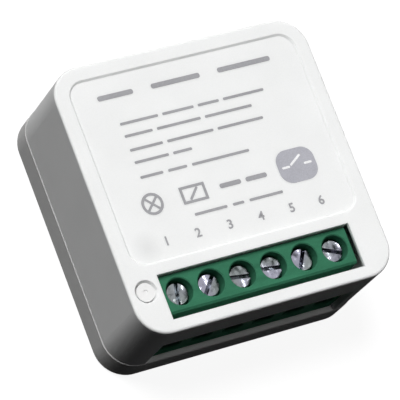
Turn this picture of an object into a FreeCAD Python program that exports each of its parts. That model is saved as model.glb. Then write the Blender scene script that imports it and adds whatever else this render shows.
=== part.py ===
import FreeCAD, Part
import math
import os
import Sketcher

# Smart switch module: a two-part case with a sunk label panel, a six-way screw terminal block,
# a push button, and the relay, radio and supply boards that it holds.
# Millimetres. Origin at the middle of the base's underside, +Z up through the label panel,
# -Y towards the side where the wires go in, +X to the right along the terminals.

os.makedirs("parts", exist_ok=True)
doc = FreeCAD.newDocument("SmartSwitch")
Vector = FreeCAD.Vector
up = Vector(0, 0, 1)

# Angle of each screw's slot from +X, from the first terminal to the last.
slot_angles = [78, 51, -8, -8, 60, -24]
pole_count = len(slot_angles)
antenna_rows = 6
resistor_count = 4

# Driving sizes
driving_sizes = {
    # case
    "caseWidth": 41.0,
    "caseDepth": 40.8,
    "caseHeight": 19.2,
    "cornerRadius": 4.7,
    "coverStep": 0.1,
    "coverWall": 1.3,
    "coverTop": 1.6,
    "topRound": 0.4,
    "bottomRound": 0.7,
    "rimChamfer": 0.15,
    "baseWall": 2.2,
    "baseFloor": 1.4,
    "rimGap": 0.2,
    "lipHeight": 1.2,
    "lipGap": 0.15,
    "catchLength": 6.0,
    "catchSpread": 7.5,
    "catchReach": 0.3,
    "catchHeight": 0.6,
    "catchGap": 0.1,
    "ribWidth": 1.4,
    "ribDepth": 1.25,
    "ribSpread": 9.0,
    "ribGap": 0.05,
    # label panel
    "panelMargin": 2.4,
    "panelFront": 9.9,
    "panelRadius": 2.3,
    "panelSink": 0.3,
    "panelSlope": 0.28,
    # board and its posts
    "boardThickness": 1.2,
    "boardGap": 0.2,
    "postHeight": 2.45,
    "postRadius": 1.7,
    "postInset": 2.3,
    "pegRadius": 0.7,
    "pegGap": 0.1,
    # terminal block
    "blockSideRoom": 5.5,
    "blockSetback": 0.8,
    "blockDepth": 8.8,
    "blockSink": 1.0,
    "blockEdge": 0.3,
    "backStep": 1.15,
    "backLedge": 0.2,
    "shoulderHeight": 7.6,
    "shoulderDepth": 2.1,
    "shoulderSlope": 0.6,
    "windowSideGap": 0.4,
    "windowBackGap": 0.15,
    "windowFrontGap": 1.0,
    "windowLip": 0.6,
    "reliefWidth": 1.2,
    "notchSideGap": 0.5,
    "notchGap": 0.4,
    "screwInset": 4.95,
    "screwHoleRadius": 2.0,
    "screwHoleEdge": 0.15,
    "headRadius": 1.72,
    "headHeight": 1.6,
    "headSink": 1.25,
    "headChamfer": 0.15,
    "slotWidth": 0.6,
    "slotDepth": 0.8,
    "seatGap": 0.05,
    "seatThickness": 0.5,
    "shankRadius": 1.3,
    "shankGap": 0.3,
    "threadGap": 0.1,
    "wireHeight": 3.6,
    "wireRadius": 1.4,
    "wireFunnel": 0.3,
    "barThickness": 0.8,
    "barWidth": 2.2,
    "barSlotGap": 0.05,
    "barFrontSeat": 0.5,
    "pinWidth": 1.0,
    "pinLength": 1.8,
    "pinHoleGap": 0.12,
    "cageDepth": 4.0,
    "cageWall": 0.5,
    "cageFloor": 0.8,
    "cageGap": 0.25,
    "cageCollar": 1.3,
    "chamberGap": 0.1,
    "chamberEndGap": 0.2,
    # push button and the switch under it
    "buttonInsetX": 2.77,
    "buttonInsetY": 6.7,
    "buttonRadius": 1.35,
    "buttonGap": 0.04,
    "dishRadius": 2.22,
    "dishDepth": 0.3,
    "dimpleRadius": 0.35,
    "dimpleDepth": 0.15,
    "flangeThickness": 0.75,
    "flangeGap": 0.1,
    "flangeLength": 4.6,
    "stemWidth": 1.6,
    "stemLength": 2.4,
    "touchGap": 0.05,
    "tactWidth": 2.9,
    "tactLength": 6.0,
    "tactHeight": 3.5,
    "tactWall": 0.55,
    "tactSideWall": 0.4,
    "plungerRadius": 0.8,
    "plungerReach": 1.0,
    "plungerGap": 0.08,
    "plungerFlange": 0.25,
    "plungerStroke": 0.35,
    "domeThickness": 0.1,
    # relay
    "relaySideGap": 0.8,
    "relayBackGap": 0.35,
    "relayRoofGap": 0.55,
    "relayLength": 20.4,
    "relayWidth": 10.0,
    "relayWall": 0.5,
    "relayFit": 0.1,
    "relayBaseHeight": 1.2,
    "yokeThickness": 1.0,
    "yokeWidth": 6.4,
    "yokeLength": 8.0,
    "yokeHeadroom": 3.0,
    "yokeInset": 0.5,
    "coreOffset": 5.0,
    "coreRadius": 1.3,
    "poleRadius": 1.9,
    "poleThickness": 0.5,
    "bobbinRadius": 3.2,
    "bobbinFlange": 0.5,
    "bobbinTube": 0.5,
    "windingGap": 0.05,
    "windingRadius": 3.0,
    "hingeGap": 0.05,
    "armatureRest": 3.5,
    "armatureLift": 0.15,
    "armatureThickness": 0.8,
    "armatureWidth": 6.0,
    "armatureLength": 7.2,
    "armatureTail": 0.5,
    "bladeStart": 1.0,
    "bladeThickness": 0.2,
    "bladeWidth": 3.0,
    "contactRadius": 1.2,
    "contactHeight": 0.5,
    "contactInset": 1.2,
    "contactGap": 0.05,
    "fixedThickness": 0.6,
    "fixedWidth": 3.0,
    "fixedReach": 3.8,
    "fixedInset": 0.8,
    "relayPinWidth": 1.0,
    "relayPinLength": 1.8,
    "coilPinRadius": 0.3,
    "coilPinX": 4.0,
    "coilPinY": 3.7,
    "coilPinTop": 1.6,
    # upright radio module
    "radioSideGap": 2.1,
    "radioBackGap": 2.0,
    "radioRoofGap": 1.35,
    "radioThickness": 0.8,
    "radioLength": 16.0,
    "shieldDepth": 1.8,
    "shieldWall": 0.2,
    "shieldEndGap": 0.8,
    "shieldFromFloor": 2.6,
    "shieldFromTop": 1.0,
    "chipSide": 5.0,
    "chipThickness": 0.9,
    "radioPinRadius": 0.25,
    "radioPinPitch": 2.0,
    "radioPinHeight": 1.6,
    "antennaThickness": 0.1,
    "antennaTrack": 0.5,
    "antennaWidth": 3.2,
    "antennaGap": 0.7,
    # round parts on the board
    "leadRadius": 0.3,
    "leadGap": 0.1,
    "leadReach": 1.8,
    "roundGap": 0.3,
    "roundSideGap": 0.35,
    "bulkRadius": 4.0,
    "bulkRoofGap": 1.05,
    "bulkPitch": 3.5,
    "outputRadius": 3.15,
    "outputHeight": 8.0,
    "outputPitch": 2.5,
    "canRound": 0.5,
    "inductorRadius": 4.0,
    "inductorHeight": 9.0,
    "inductorFlange": 1.2,
    "inductorCore": 2.0,
    "inductorWound": 3.5,
    "inductorPitch": 5.0,
    "fuseRadius": 1.5,
    "fuseLength": 6.0,
    "fusePitch": 7.2,
    "fuseLift": 0.1,
    "varistorSideGap": 0.8,
    "varistorRadius": 3.9,
    "varistorThickness": 3.6,
    "varistorPitch": 5.0,
    "varistorLift": 0.7,
    "varistorRound": 0.8,
    # flat parts on the board
    "flatSideGap": 0.8,
    "flatSpacing": 0.6,
    "flatGap": 0.3,
    "bridgeLength": 4.8,
    "bridgeWidth": 3.9,
    "bridgeHeight": 2.6,
    "supplyLength": 4.9,
    "supplyWidth": 3.9,
    "supplyHeight": 1.6,
    "regulatorLength": 4.5,
    "regulatorWidth": 2.5,
    "regulatorHeight": 1.5,
    "driverLength": 2.9,
    "driverWidth": 1.4,
    "driverHeight": 1.1,
    "diodeLength": 4.3,
    "diodeWidth": 2.6,
    "diodeHeight": 2.1,
    "couplerBackGap": 1.0,
    "couplerLength": 4.6,
    "couplerWidth": 6.5,
    "couplerHeight": 3.5,
    "legLength": 1.0,
    "legWidth": 0.7,
    "legThickness": 0.25,
    "legPitch": 2.54,
    "smallLegPitch": 1.27,
    "resistorLength": 1.25,
    "resistorWidth": 2.0,
    "resistorHeight": 0.5,
    "resistorPitch": 2.0,
    "ledInset": 1.3,
    "ledGap": 0.8,
    "ledLength": 1.6,
    "ledWidth": 0.8,
    "ledHeight": 0.6,
}

# Sizes and places that follow from the driving ones
derived_sizes = {
    # case
    "coverHalfX": "Sizes.caseWidth / 2 - Sizes.coverStep",
    "coverHalfY": "Sizes.caseDepth / 2 - Sizes.coverStep",
    "coverRadius": "Sizes.cornerRadius - Sizes.coverStep",
    "cavityHalfX": "coverHalfX - Sizes.coverWall",
    "cavityHalfY": "coverHalfY - Sizes.coverWall",
    "cavityRadius": "coverRadius - Sizes.coverWall",
    "boardBottom": "Sizes.baseFloor + Sizes.postHeight",
    "boardTop": "boardBottom + Sizes.boardThickness",
    "seam": "boardTop - Sizes.rimGap",
    "ceiling": "Sizes.caseHeight - Sizes.coverTop",
    "trayHalfX": "Sizes.caseWidth / 2 - Sizes.baseWall",
    "trayHalfY": "Sizes.caseDepth / 2 - Sizes.baseWall",
    "trayRadius": "Sizes.cornerRadius - Sizes.baseWall",
    "lipHalfX": "cavityHalfX - Sizes.lipGap",
    "lipHalfY": "cavityHalfY - Sizes.lipGap",
    "lipRadius": "cavityRadius - Sizes.lipGap",
    "lipTop": "seam + Sizes.lipHeight",
    "catchMiddle": "seam + Sizes.lipHeight / 2",
    "boardHalfX": "trayHalfX - Sizes.boardGap",
    "boardHalfY": "trayHalfY - Sizes.boardGap",
    "boardRadius": "trayRadius - Sizes.boardGap",
    "postX": "boardHalfX - Sizes.postInset",
    "postY": "boardHalfY - Sizes.postInset",
    "panelHalfX": "coverHalfX - Sizes.panelMargin",
    "panelBack": "coverHalfY - Sizes.panelMargin",
    "panelLength": "panelBack + Sizes.panelFront",
    "panelMiddle": "(panelBack - Sizes.panelFront) / 2",
    # terminal block
    "blockWidth": "Sizes.caseWidth - Sizes.blockSideRoom * 2",
    "polePitch": "blockWidth / %d" % pole_count,
    "firstPole": "-polePitch * %d / 2" % (pole_count - 1),
    "blockFront": "-Sizes.caseDepth / 2 + Sizes.blockSetback",
    "blockBack": "blockFront + Sizes.blockDepth",
    "blockTop": "Sizes.caseHeight - Sizes.blockSink",
    "shoulderTop": "boardTop + Sizes.shoulderHeight",
    "upperFront": "blockFront + Sizes.shoulderDepth",
    "upperBack": "blockBack - Sizes.backStep",
    "windowHalf": "blockWidth / 2 + Sizes.windowSideGap",
    "windowFront": "upperFront - Sizes.windowFrontGap",
    "windowBack": "upperBack + Sizes.windowBackGap",
    "notchHalf": "blockWidth / 2 + Sizes.notchSideGap",
    "notchTop": "shoulderTop + Sizes.notchGap",
    "screwY": "blockFront + Sizes.screwInset",
    "headTop": "blockTop - Sizes.headSink",
    "headBottom": "headTop - Sizes.headHeight",
    "seatTop": "headBottom - Sizes.seatGap",
    "chamberTop": "seatTop - Sizes.seatThickness",
    "wireZ": "boardTop + Sizes.wireHeight",
    "barBottom": "wireZ + Sizes.wireRadius",
    "barTop": "barBottom + Sizes.barThickness",
    "cageFloorTop": "wireZ - Sizes.wireRadius",
    "cageBottom": "cageFloorTop - Sizes.cageFloor",
    "cageWindowTop": "barTop + Sizes.cageGap",
    "cageTop": "cageWindowTop + Sizes.cageCollar",
    "cageWidth": "(Sizes.wireRadius + Sizes.cageWall) * 2",
    "chamberWidth": "cageWidth + Sizes.chamberGap * 2",
    "chamberLength": "Sizes.cageDepth + Sizes.chamberEndGap * 2",
    "chamberFront": "screwY - chamberLength / 2",
    "shankBottom": "barTop + Sizes.shankGap",
    "barFront": "chamberFront - Sizes.barFrontSeat",
    "pinY": "blockBack - Sizes.barThickness / 2",
    "pinBottom": "boardTop - Sizes.pinLength",
    "pinHoleRadius": "sqrt(Sizes.pinWidth ^ 2 + Sizes.barThickness ^ 2) / 2 + Sizes.pinHoleGap",
    # push button
    "buttonX": "-Sizes.caseWidth / 2 + Sizes.buttonInsetX",
    "buttonY": "-Sizes.caseDepth / 2 + Sizes.buttonInsetY",
    "buttonTop": "Sizes.caseHeight - Sizes.dishDepth",
    "flangeTop": "ceiling - Sizes.flangeGap",
    "flangeBottom": "flangeTop - Sizes.flangeThickness",
    "wellBottom": "flangeBottom - Sizes.plungerStroke",
    "tactX": "-boardHalfX + Sizes.tactWidth / 2",
    "tactTop": "boardTop + Sizes.tactHeight",
    "plungerTop": "tactTop + Sizes.plungerReach",
    "stemBottom": "plungerTop + Sizes.touchGap",
    "tactRoof": "tactTop - Sizes.tactWall",
    "tactWellRadius": "Sizes.tactWidth / 2 - Sizes.tactSideWall",
    "plungerFlangeRadius": "tactWellRadius - Sizes.plungerGap",
    "plungerBottom": "tactRoof - Sizes.plungerGap - Sizes.plungerFlange",
    "tactWellBottom": "plungerBottom - Sizes.plungerStroke - Sizes.domeThickness * 2",
    # relay
    "relayCentreX": "-boardHalfX + Sizes.relaySideGap + Sizes.relayLength / 2",
    "relayCentreY": "cavityHalfY - Sizes.ribDepth - Sizes.relayBackGap - Sizes.relayWidth / 2",
    "relayFront": "relayCentreY - Sizes.relayWidth / 2",
    "relayHeight": "ceiling - boardTop - Sizes.relayRoofGap",
    "relayFloor": "boardTop + Sizes.relayBaseHeight",
    "relayBaseLength": "Sizes.relayLength - (Sizes.relayWall + Sizes.relayFit) * 2",
    "relayBaseWidth": "Sizes.relayWidth - (Sizes.relayWall + Sizes.relayFit) * 2",
    "yokeX": "relayCentreX - relayBaseLength / 2 + Sizes.yokeInset",
    "yokeHeight": "relayHeight - Sizes.relayBaseHeight - Sizes.yokeHeadroom",
    "yokeTop": "relayFloor + yokeHeight",
    "hingeX": "yokeX + Sizes.yokeThickness / 2",
    "hingeZ": "yokeTop + Sizes.hingeGap",
    "coreX": "hingeX + Sizes.coreOffset",
    "coreBottom": "relayFloor + Sizes.yokeThickness",
    "poleBottom": "yokeTop - Sizes.poleThickness",
    "bobbinTop": "poleBottom - Sizes.windingGap",
    "bobbinBore": "Sizes.coreRadius + Sizes.windingGap",
    "bobbinTubeRadius": "bobbinBore + Sizes.bobbinTube",
    "windingBottom": "coreBottom + Sizes.bobbinFlange + Sizes.windingGap",
    "windingTop": "bobbinTop - Sizes.bobbinFlange - Sizes.windingGap",
    "fixedX": "relayCentreX + relayBaseLength / 2 - Sizes.fixedInset",
    "contactX": "fixedX - Sizes.fixedReach + Sizes.contactRadius",
    "bladeLength": "contactX + Sizes.contactInset - hingeX - Sizes.bladeStart",
    "bladeBottom": "Sizes.armatureLift + Sizes.armatureThickness",
    "fixedContactTop": "hingeZ + bladeBottom - Sizes.contactHeight - Sizes.contactGap",
    "fixedArmTop": "fixedContactTop - Sizes.contactHeight",
    "relayPinBottom": "boardTop - Sizes.relayPinLength",
    "relayHoleRadius": "sqrt(Sizes.relayPinWidth ^ 2 + Sizes.yokeThickness ^ 2) / 2 + Sizes.pinHoleGap",
    "fixedPinX": "fixedX - Sizes.fixedThickness / 2",
    "coilPinLeft": "coreX + Sizes.coilPinX",
    # radio module
    "radioX": "boardHalfX - Sizes.radioSideGap",
    "radioY": "boardHalfY - Sizes.radioBackGap - Sizes.radioLength / 2",
    "radioHeight": "ceiling - boardTop - Sizes.radioRoofGap",
    "radioFace": "radioX - Sizes.radioThickness / 2",
    "radioFront": "radioY - Sizes.radioLength / 2",
    "radioPinX": "radioFace - Sizes.radioPinRadius",
    "shieldLeft": "radioFace - Sizes.shieldDepth",
    "shieldTail": "Sizes.shieldEndGap * 2 + Sizes.antennaWidth + Sizes.antennaGap",
    "shieldLength": "Sizes.radioLength - shieldTail",
    "shieldHeight": "radioHeight - Sizes.shieldFromFloor - Sizes.shieldFromTop",
    "antennaPitch": "(shieldHeight - Sizes.antennaTrack) / %d" % (antenna_rows - 1),
    # board leads
    "leadHoleRadius": "Sizes.leadRadius + Sizes.leadGap",
    "leadBottom": "boardTop - Sizes.leadReach",
    # round parts stand in a row behind the block
    "roundFront": "blockBack + Sizes.roundGap",
    "outputX": "boardHalfX - Sizes.roundSideGap - Sizes.outputRadius",
    "outputY": "roundFront + Sizes.outputRadius",
    "bulkX": "outputX - Sizes.outputRadius - Sizes.roundGap - Sizes.bulkRadius",
    "bulkY": "roundFront + Sizes.bulkRadius",
    "bulkHeight": "ceiling - boardTop - Sizes.bulkRoofGap",
    "varistorX": "-boardHalfX + Sizes.varistorSideGap + Sizes.varistorThickness / 2",
    "varistorY": "roundFront + Sizes.varistorRadius",
    "fuseX": "varistorX + Sizes.varistorThickness / 2 + Sizes.roundGap + Sizes.fuseRadius",
    "fuseY": "roundFront + Sizes.leadRadius + Sizes.fusePitch / 2",
    "inductorX": "fuseX + Sizes.fuseRadius + Sizes.roundGap + Sizes.inductorRadius",
    "inductorY": "roundFront + Sizes.inductorRadius",
    # flat parts lie in a row before the relay, and in a column beside the radio's shield
    "legReach": "Sizes.legLength - Sizes.legThickness",
    "flatBack": "relayFront - Sizes.flatGap - legReach",
    "bridgeX": "-boardHalfX + Sizes.flatSideGap + Sizes.bridgeLength / 2",
    "bridgeY": "flatBack - Sizes.bridgeWidth / 2",
    "supplyX": "bridgeX + (Sizes.bridgeLength + Sizes.supplyLength) / 2 + Sizes.flatSpacing",
    "supplyY": "flatBack - Sizes.supplyWidth / 2",
    "regulatorX": "supplyX + (Sizes.supplyLength + Sizes.regulatorLength) / 2 + Sizes.flatSpacing",
    "regulatorY": "flatBack - Sizes.regulatorWidth / 2",
    "driverX": "regulatorX + (Sizes.regulatorLength + Sizes.driverLength) / 2 + Sizes.flatSpacing",
    "driverY": "flatBack - Sizes.driverWidth / 2",
    "couplerX": "shieldLeft - Sizes.flatGap - Sizes.couplerLength / 2",
    "couplerY": "boardHalfY - Sizes.couplerBackGap - legReach - Sizes.couplerWidth / 2",
    "columnBack": "couplerY - Sizes.couplerWidth / 2 - legReach - Sizes.flatGap",
    "resistorX": "shieldLeft - Sizes.flatGap - Sizes.resistorWidth / 2",
    "resistorY": "columnBack - Sizes.resistorLength / 2",
    "diodeX": "resistorX - (Sizes.resistorWidth + Sizes.diodeLength) / 2 - Sizes.flatGap",
    "diodeY": "flatBack - Sizes.diodeWidth / 2",
    "ledX": "-boardHalfX + Sizes.ledInset",
    "ledY": "buttonY + Sizes.tactLength / 2 + Sizes.ledGap",
}


def make_sheet(name, rows):
    sheet = doc.addObject("Spreadsheet::Sheet", name)
    for line, (alias, content) in enumerate(rows.items(), start=1):
        sheet.set("A%d" % line, alias)
        sheet.set("B%d" % line, content)
        sheet.setAlias("B%d" % line, alias)
    doc.recompute()
    return sheet


sizes = make_sheet("Sizes", {alias: str(value) for alias, value in driving_sizes.items()})
places = make_sheet("Places", {alias: "=" + formula for alias, formula in derived_sizes.items()})

pieces = []


def number(expression):
    return float(places.evalExpression(expression))


def bind_all(thing, bindings):
    for path, expression in bindings.items():
        thing.setExpression(path, expression)


# Part Design helpers

def new_body(label):
    body = doc.addObject("PartDesign::Body", label)
    pieces.append(body)
    return body


def origin_item(body, role):
    for feature in body.Origin.OriginFeatures:
        if feature.Role == role:
            return feature
    raise ValueError(role)


def new_sketch(body, role, name, lift="0"):
    sketch = body.newObject("Sketcher::SketchObject", name)
    sketch.AttachmentSupport = [(origin_item(body, role), "")]
    sketch.MapMode = "FlatFace"
    sketch.setExpression("AttachmentOffset.Base.z", lift)
    return sketch


def constrain(sketch, name, expression, kind, *where):
    constraint = Sketcher.Constraint(kind, *where, number(expression))
    index = sketch.addConstraint(constraint)
    sketch.renameConstraint(index, name)
    sketch.setExpression("Constraints." + name, expression)


def place_point(sketch, name, geometry, point, x, y):
    constrain(sketch, name + "X", x, "DistanceX", -1, 1, geometry, point)
    constrain(sketch, name + "Y", y, "DistanceY", -1, 1, geometry, point)


def draw_outline(sketch, points):
    first = sketch.GeometryCount
    corners = [Vector(number(x), number(y), 0) for x, y in points]
    count = len(corners)
    for index in range(count):
        line = Part.LineSegment(corners[index], corners[(index + 1) % count])
        sketch.addGeometry(line, False)
    for index in range(count):
        following = first + (index + 1) % count
        sketch.addConstraint(Sketcher.Constraint("Coincident", first + index, 2, following, 1))
    for index, (x, y) in enumerate(points):
        place_point(sketch, "p%d" % (first + index), first + index, 1, x, y)


def draw_rectangle(sketch, left, front, right, back):
    draw_outline(sketch, [(left, front), (right, front), (right, back), (left, back)])


def draw_centred(sketch, x, y, width, depth):
    half_width = "(" + width + ") / 2"
    half_depth = "(" + depth + ") / 2"
    draw_rectangle(
        sketch,
        x + " - " + half_width,
        y + " - " + half_depth,
        x + " + " + half_width,
        y + " + " + half_depth,
    )


def draw_circle(sketch, x, y, radius):
    index = sketch.GeometryCount
    centre = Vector(number(x), number(y), 0)
    sketch.addGeometry(Part.Circle(centre, up, number(radius)), False)
    constrain(sketch, "r%d" % index, radius, "Radius", index)
    place_point(sketch, "c%d" % index, index, 3, x, y)


def check_change(body, before, grows):
    doc.recompute()
    change = body.Shape.Volume - before
    if (change > 0) != grows or abs(change) < 1e-6:
        raise RuntimeError(body.Label + ": " + body.Tip.Label + " changed nothing or the wrong way")


def volume_of(body):
    doc.recompute()
    if body.Tip is None or body.Shape.isNull():
        return 0.0
    return body.Shape.Volume


def pad(body, sketch, length, name, middle=False, down=False):
    before = volume_of(body)
    feature = body.newObject("PartDesign::Pad", name)
    feature.Profile = sketch
    feature.Midplane = middle
    feature.Reversed = down
    feature.setExpression("Length", length)
    check_change(body, before, True)
    return feature


def pocket(body, sketch, length, name, upward=False, middle=False):
    before = volume_of(body)
    feature = body.newObject("PartDesign::Pocket", name)
    feature.Profile = sketch
    feature.Midplane = middle
    feature.Reversed = upward
    feature.setExpression("Length", length)
    check_change(body, before, False)
    return feature


def turn(body, sketch, name):
    before = volume_of(body)
    feature = body.newObject("PartDesign::Revolution", name)
    feature.Profile = sketch
    feature.ReferenceAxis = (sketch, ["V_Axis"])
    feature.Angle = 360
    check_change(body, before, True)
    return feature


def edges_where(body, test):
    doc.recompute()
    names = []
    for index, edge in enumerate(body.Tip.Shape.Edges, start=1):
        if test(edge):
            names.append("Edge%d" % index)
    if not names:
        raise RuntimeError(body.Label + ": no edge found")
    return names


def round_edges(body, test, radius, name):
    names = edges_where(body, test)
    base = body.Tip
    feature = body.newObject("PartDesign::Fillet", name)
    feature.Base = (base, names)
    feature.setExpression("Radius", radius)
    doc.recompute()
    return feature


def bevel_edges(body, test, size, name):
    names = edges_where(body, test)
    base = body.Tip
    feature = body.newObject("PartDesign::Chamfer", name)
    feature.Base = (base, names)
    feature.setExpression("Size", size)
    doc.recompute()
    return feature


def repeat_poles(body, features):
    before = volume_of(body)
    pattern = body.newObject("PartDesign::LinearPattern", "pole_pattern")
    pattern.Originals = features
    pattern.Direction = (origin_item(body, "X_Axis"), [""])
    pattern.setExpression("Length", "Places.polePitch * %d" % (pole_count - 1))
    pattern.Occurrences = pole_count
    body.Tip = pattern
    check_change(body, before, False)


def level_at(edge, height):
    box = edge.BoundBox
    return abs(box.ZMin - height) < 1e-4 and abs(box.ZMax - height) < 1e-4


def draw_rounded(sketch, half_x, half_y, radius, middle="0"):
    # Four lines and four quarter arcs, tangent at each join.
    first = sketch.GeometryCount
    x = number(half_x)
    y = number(half_y)
    r = number(radius)
    m = number(middle)
    turns = [(1, -1, -90), (1, 1, 0), (-1, 1, 90), (-1, -1, 180)]
    centres = [Vector(sx * (x - r), m + sy * (y - r), 0) for sx, sy, start in turns]
    for index, (sx, sy, start) in enumerate(turns):
        begin = math.radians(start)
        circle = Part.Circle(centres[index], up, r)
        sketch.addGeometry(Part.ArcOfCircle(circle, begin, begin + math.pi / 2), False)
    for index in range(4):
        start_angle = math.radians(turns[index][2] + 90)
        following = (index + 1) % 4
        reach = Vector(math.cos(start_angle), math.sin(start_angle), 0) * r
        line = Part.LineSegment(centres[index] + reach, centres[following] + reach)
        sketch.addGeometry(line, False)
    for index in range(4):
        arc = first + index
        line = first + 4 + index
        following = first + (index + 1) % 4
        sketch.addConstraint(Sketcher.Constraint("Tangent", arc, 2, line, 1))
        sketch.addConstraint(Sketcher.Constraint("Tangent", line, 2, following, 1))
    constrain(sketch, "r%d" % first, radius, "Radius", first)
    for index in range(1, 4):
        sketch.addConstraint(Sketcher.Constraint("Equal", first, first + index))
    for name, index, along, across in (("front", 0, 1, -1), ("back", 2, -1, 1)):
        centre_x = "%d * (%s - %s)" % (along, half_x, radius)
        centre_y = "%s + %d * (%s - %s)" % (middle, across, half_y, radius)
        place_point(sketch, name + str(first), first + index, 3, centre_x, centre_y)
    sketch.addConstraint(Sketcher.Constraint("Vertical", first + 4))


# Part primitive helpers

def primitive(kind, name, bindings):
    thing = doc.addObject("Part::" + kind, name)
    bind_all(thing, bindings)
    return thing


def box_at(name, x, y, z, length, width, height):
    # A box centred on x and y, standing on z.
    return primitive("Box", name, {
        "Length": length,
        "Width": width,
        "Height": height,
        "Placement.Base.x": "%s - (%s) / 2" % (x, length),
        "Placement.Base.y": "%s - (%s) / 2" % (y, width),
        "Placement.Base.z": z,
    })


def rod_at(name, x, y, z, radius, height):
    return primitive("Cylinder", name, {
        "Radius": radius,
        "Height": height,
        "Placement.Base.x": x,
        "Placement.Base.y": y,
        "Placement.Base.z": z,
    })


def keep(thing):
    pieces.append(thing)
    return thing


def cut(name, base, tool):
    result = doc.addObject("Part::Cut", name)
    result.Base = base
    result.Tool = tool
    return result


def fuse(name, things):
    result = doc.addObject("Part::MultiFuse", name)
    result.Shapes = things
    result.Refine = True
    return result


def round_rims(name, cylinder, radius, upper_only=False):
    # Rounds both rims of a cylinder, or the upper one alone.
    doc.recompute()
    top = cylinder.Shape.BoundBox.ZMax
    rims = []
    for index, edge in enumerate(cylinder.Shape.Edges, start=1):
        is_rim = isinstance(edge.Curve, Part.Circle)
        if is_rim and (not upper_only or level_at(edge, top)):
            rims.append(index)
    result = doc.addObject("Part::Fillet", name)
    result.Base = cylinder
    size = number(radius)
    result.Edges = [(index, size, size) for index in rims]
    return result


def group(name, things):
    # Separate solids under one name.
    result = doc.addObject("Part::Compound", name)
    result.Links = things
    return result


# Lead places, shared by the parts and by the holes of the board

def pole_x(index):
    return "Places.firstPole + Places.polePitch * %d" % index


radio_pin_count = 6
lead_pairs = {
    "bulk": ("Places.bulkX", "Places.bulkY", "Sizes.bulkPitch", "x"),
    "output": ("Places.outputX", "Places.outputY", "Sizes.outputPitch", "x"),
    "inductor": ("Places.inductorX", "Places.inductorY", "Sizes.inductorPitch", "x"),
    "fuse": ("Places.fuseX", "Places.fuseY", "Sizes.fusePitch", "y"),
    "varistor": ("Places.varistorX", "Places.varistorY", "Sizes.varistorPitch", "y"),
}


def lead_places(name):
    x, y, pitch, along = lead_pairs[name]
    spots = []
    for side in ("-", "+"):
        shift = " %s %s / 2" % (side, pitch)
        if along == "x":
            spots.append((x + shift, y))
        else:
            spots.append((x, y + shift))
    return spots


def radio_pin_y(index):
    return "Places.radioY + Sizes.radioPinPitch * %.1f" % (index - (radio_pin_count - 1) / 2)


def coil_pin_places():
    return [
        ("Places.coilPinLeft", "Places.relayCentreY - Sizes.coilPinY"),
        ("Places.coilPinLeft", "Places.relayCentreY + Sizes.coilPinY"),
    ]


# Base tray

def make_base_tray():
    body = new_body("base_tray")
    sketch = new_sketch(body, "XY_Plane", "tray_outline")
    draw_rounded(sketch, "Sizes.caseWidth / 2", "Sizes.caseDepth / 2", "Sizes.cornerRadius")
    pad(body, sketch, "Places.seam", "tray_block")
    round_edges(body, lambda edge: level_at(edge, 0), "Sizes.bottomRound", "bottom_round")
    seam = number("Places.seam")
    bevel_edges(body, lambda edge: level_at(edge, seam), "Sizes.rimChamfer", "rim_bevel")

    lip = new_sketch(body, "XY_Plane", "lip_outline", "Places.seam")
    draw_rounded(lip, "Places.lipHalfX", "Places.lipHalfY", "Places.lipRadius")
    pad(body, lip, "Sizes.lipHeight", "lip")

    well = new_sketch(body, "XY_Plane", "well_outline", "Places.lipTop")
    draw_rounded(well, "Places.trayHalfX", "Places.trayHalfY", "Places.trayRadius")
    pocket(body, well, "Places.lipTop - Sizes.baseFloor", "well")

    # The lip is left out along the front and at the front corners, where the block and the
    # button's switch stand.
    gate = new_sketch(body, "XY_Plane", "lip_gate", "Places.lipTop")
    draw_rectangle(
        gate,
        "-Sizes.caseWidth / 2",
        "-Sizes.caseDepth / 2",
        "Sizes.caseWidth / 2",
        "Places.blockBack",
    )
    pocket(body, gate, "Sizes.lipHeight", "lip_gate_cut")

    # Gaps in the back lip for the cover's ribs.
    gaps = new_sketch(body, "XY_Plane", "rib_gaps", "Places.lipTop")
    gap_width = "Sizes.ribWidth + Sizes.lipGap * 2"
    lip_middle = "(Places.lipHalfY + Places.trayHalfY) / 2"
    for sign in ("-", ""):
        draw_centred(gaps, sign + "Sizes.ribSpread", lip_middle, gap_width, "Sizes.baseWall")
    pocket(body, gaps, "Sizes.lipHeight", "rib_gaps_cut")

    for side, sign in (("left", "-"), ("right", "")):
        for end, shift in (("front", "-"), ("back", "")):
            add_catch(body, side + "_" + end, sign, shift)

    for name, sign_x, sign_y in corner_signs:
        post = new_sketch(body, "XY_Plane", "post_" + name, "Sizes.baseFloor")
        draw_circle(post, sign_x + "Places.postX", sign_y + "Places.postY", "Sizes.postRadius")
        pad(body, post, "Sizes.postHeight", "post_pad_" + name)
        peg = new_sketch(body, "XY_Plane", "peg_" + name, "Places.boardBottom")
        draw_circle(peg, sign_x + "Places.postX", sign_y + "Places.postY", "Sizes.pegRadius")
        pad(body, peg, "Sizes.boardThickness", "peg_pad_" + name)


corner_signs = [("a", "-", "-"), ("b", "", "-"), ("c", "", ""), ("d", "-", "")]


def add_catch(body, name, sign, shift):
    # A small ridge along the lip, pointed like a snap catch: drawn in XZ and padded along Y.
    middle = shift + "Sizes.catchSpread"
    sketch = new_sketch(body, "XZ_Plane", "catch_" + name, "-(%s)" % middle)
    root = sign + "(Places.lipHalfX - Sizes.lipGap)"
    tip = sign + "(Places.lipHalfX + Sizes.catchReach)"
    draw_outline(sketch, [
        (root, "Places.catchMiddle - Sizes.catchHeight / 2"),
        (tip, "Places.catchMiddle"),
        (root, "Places.catchMiddle + Sizes.catchHeight / 2"),
    ])
    pad(body, sketch, "Sizes.catchLength", "catch_pad_" + name, middle=True)


# Top cover

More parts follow.
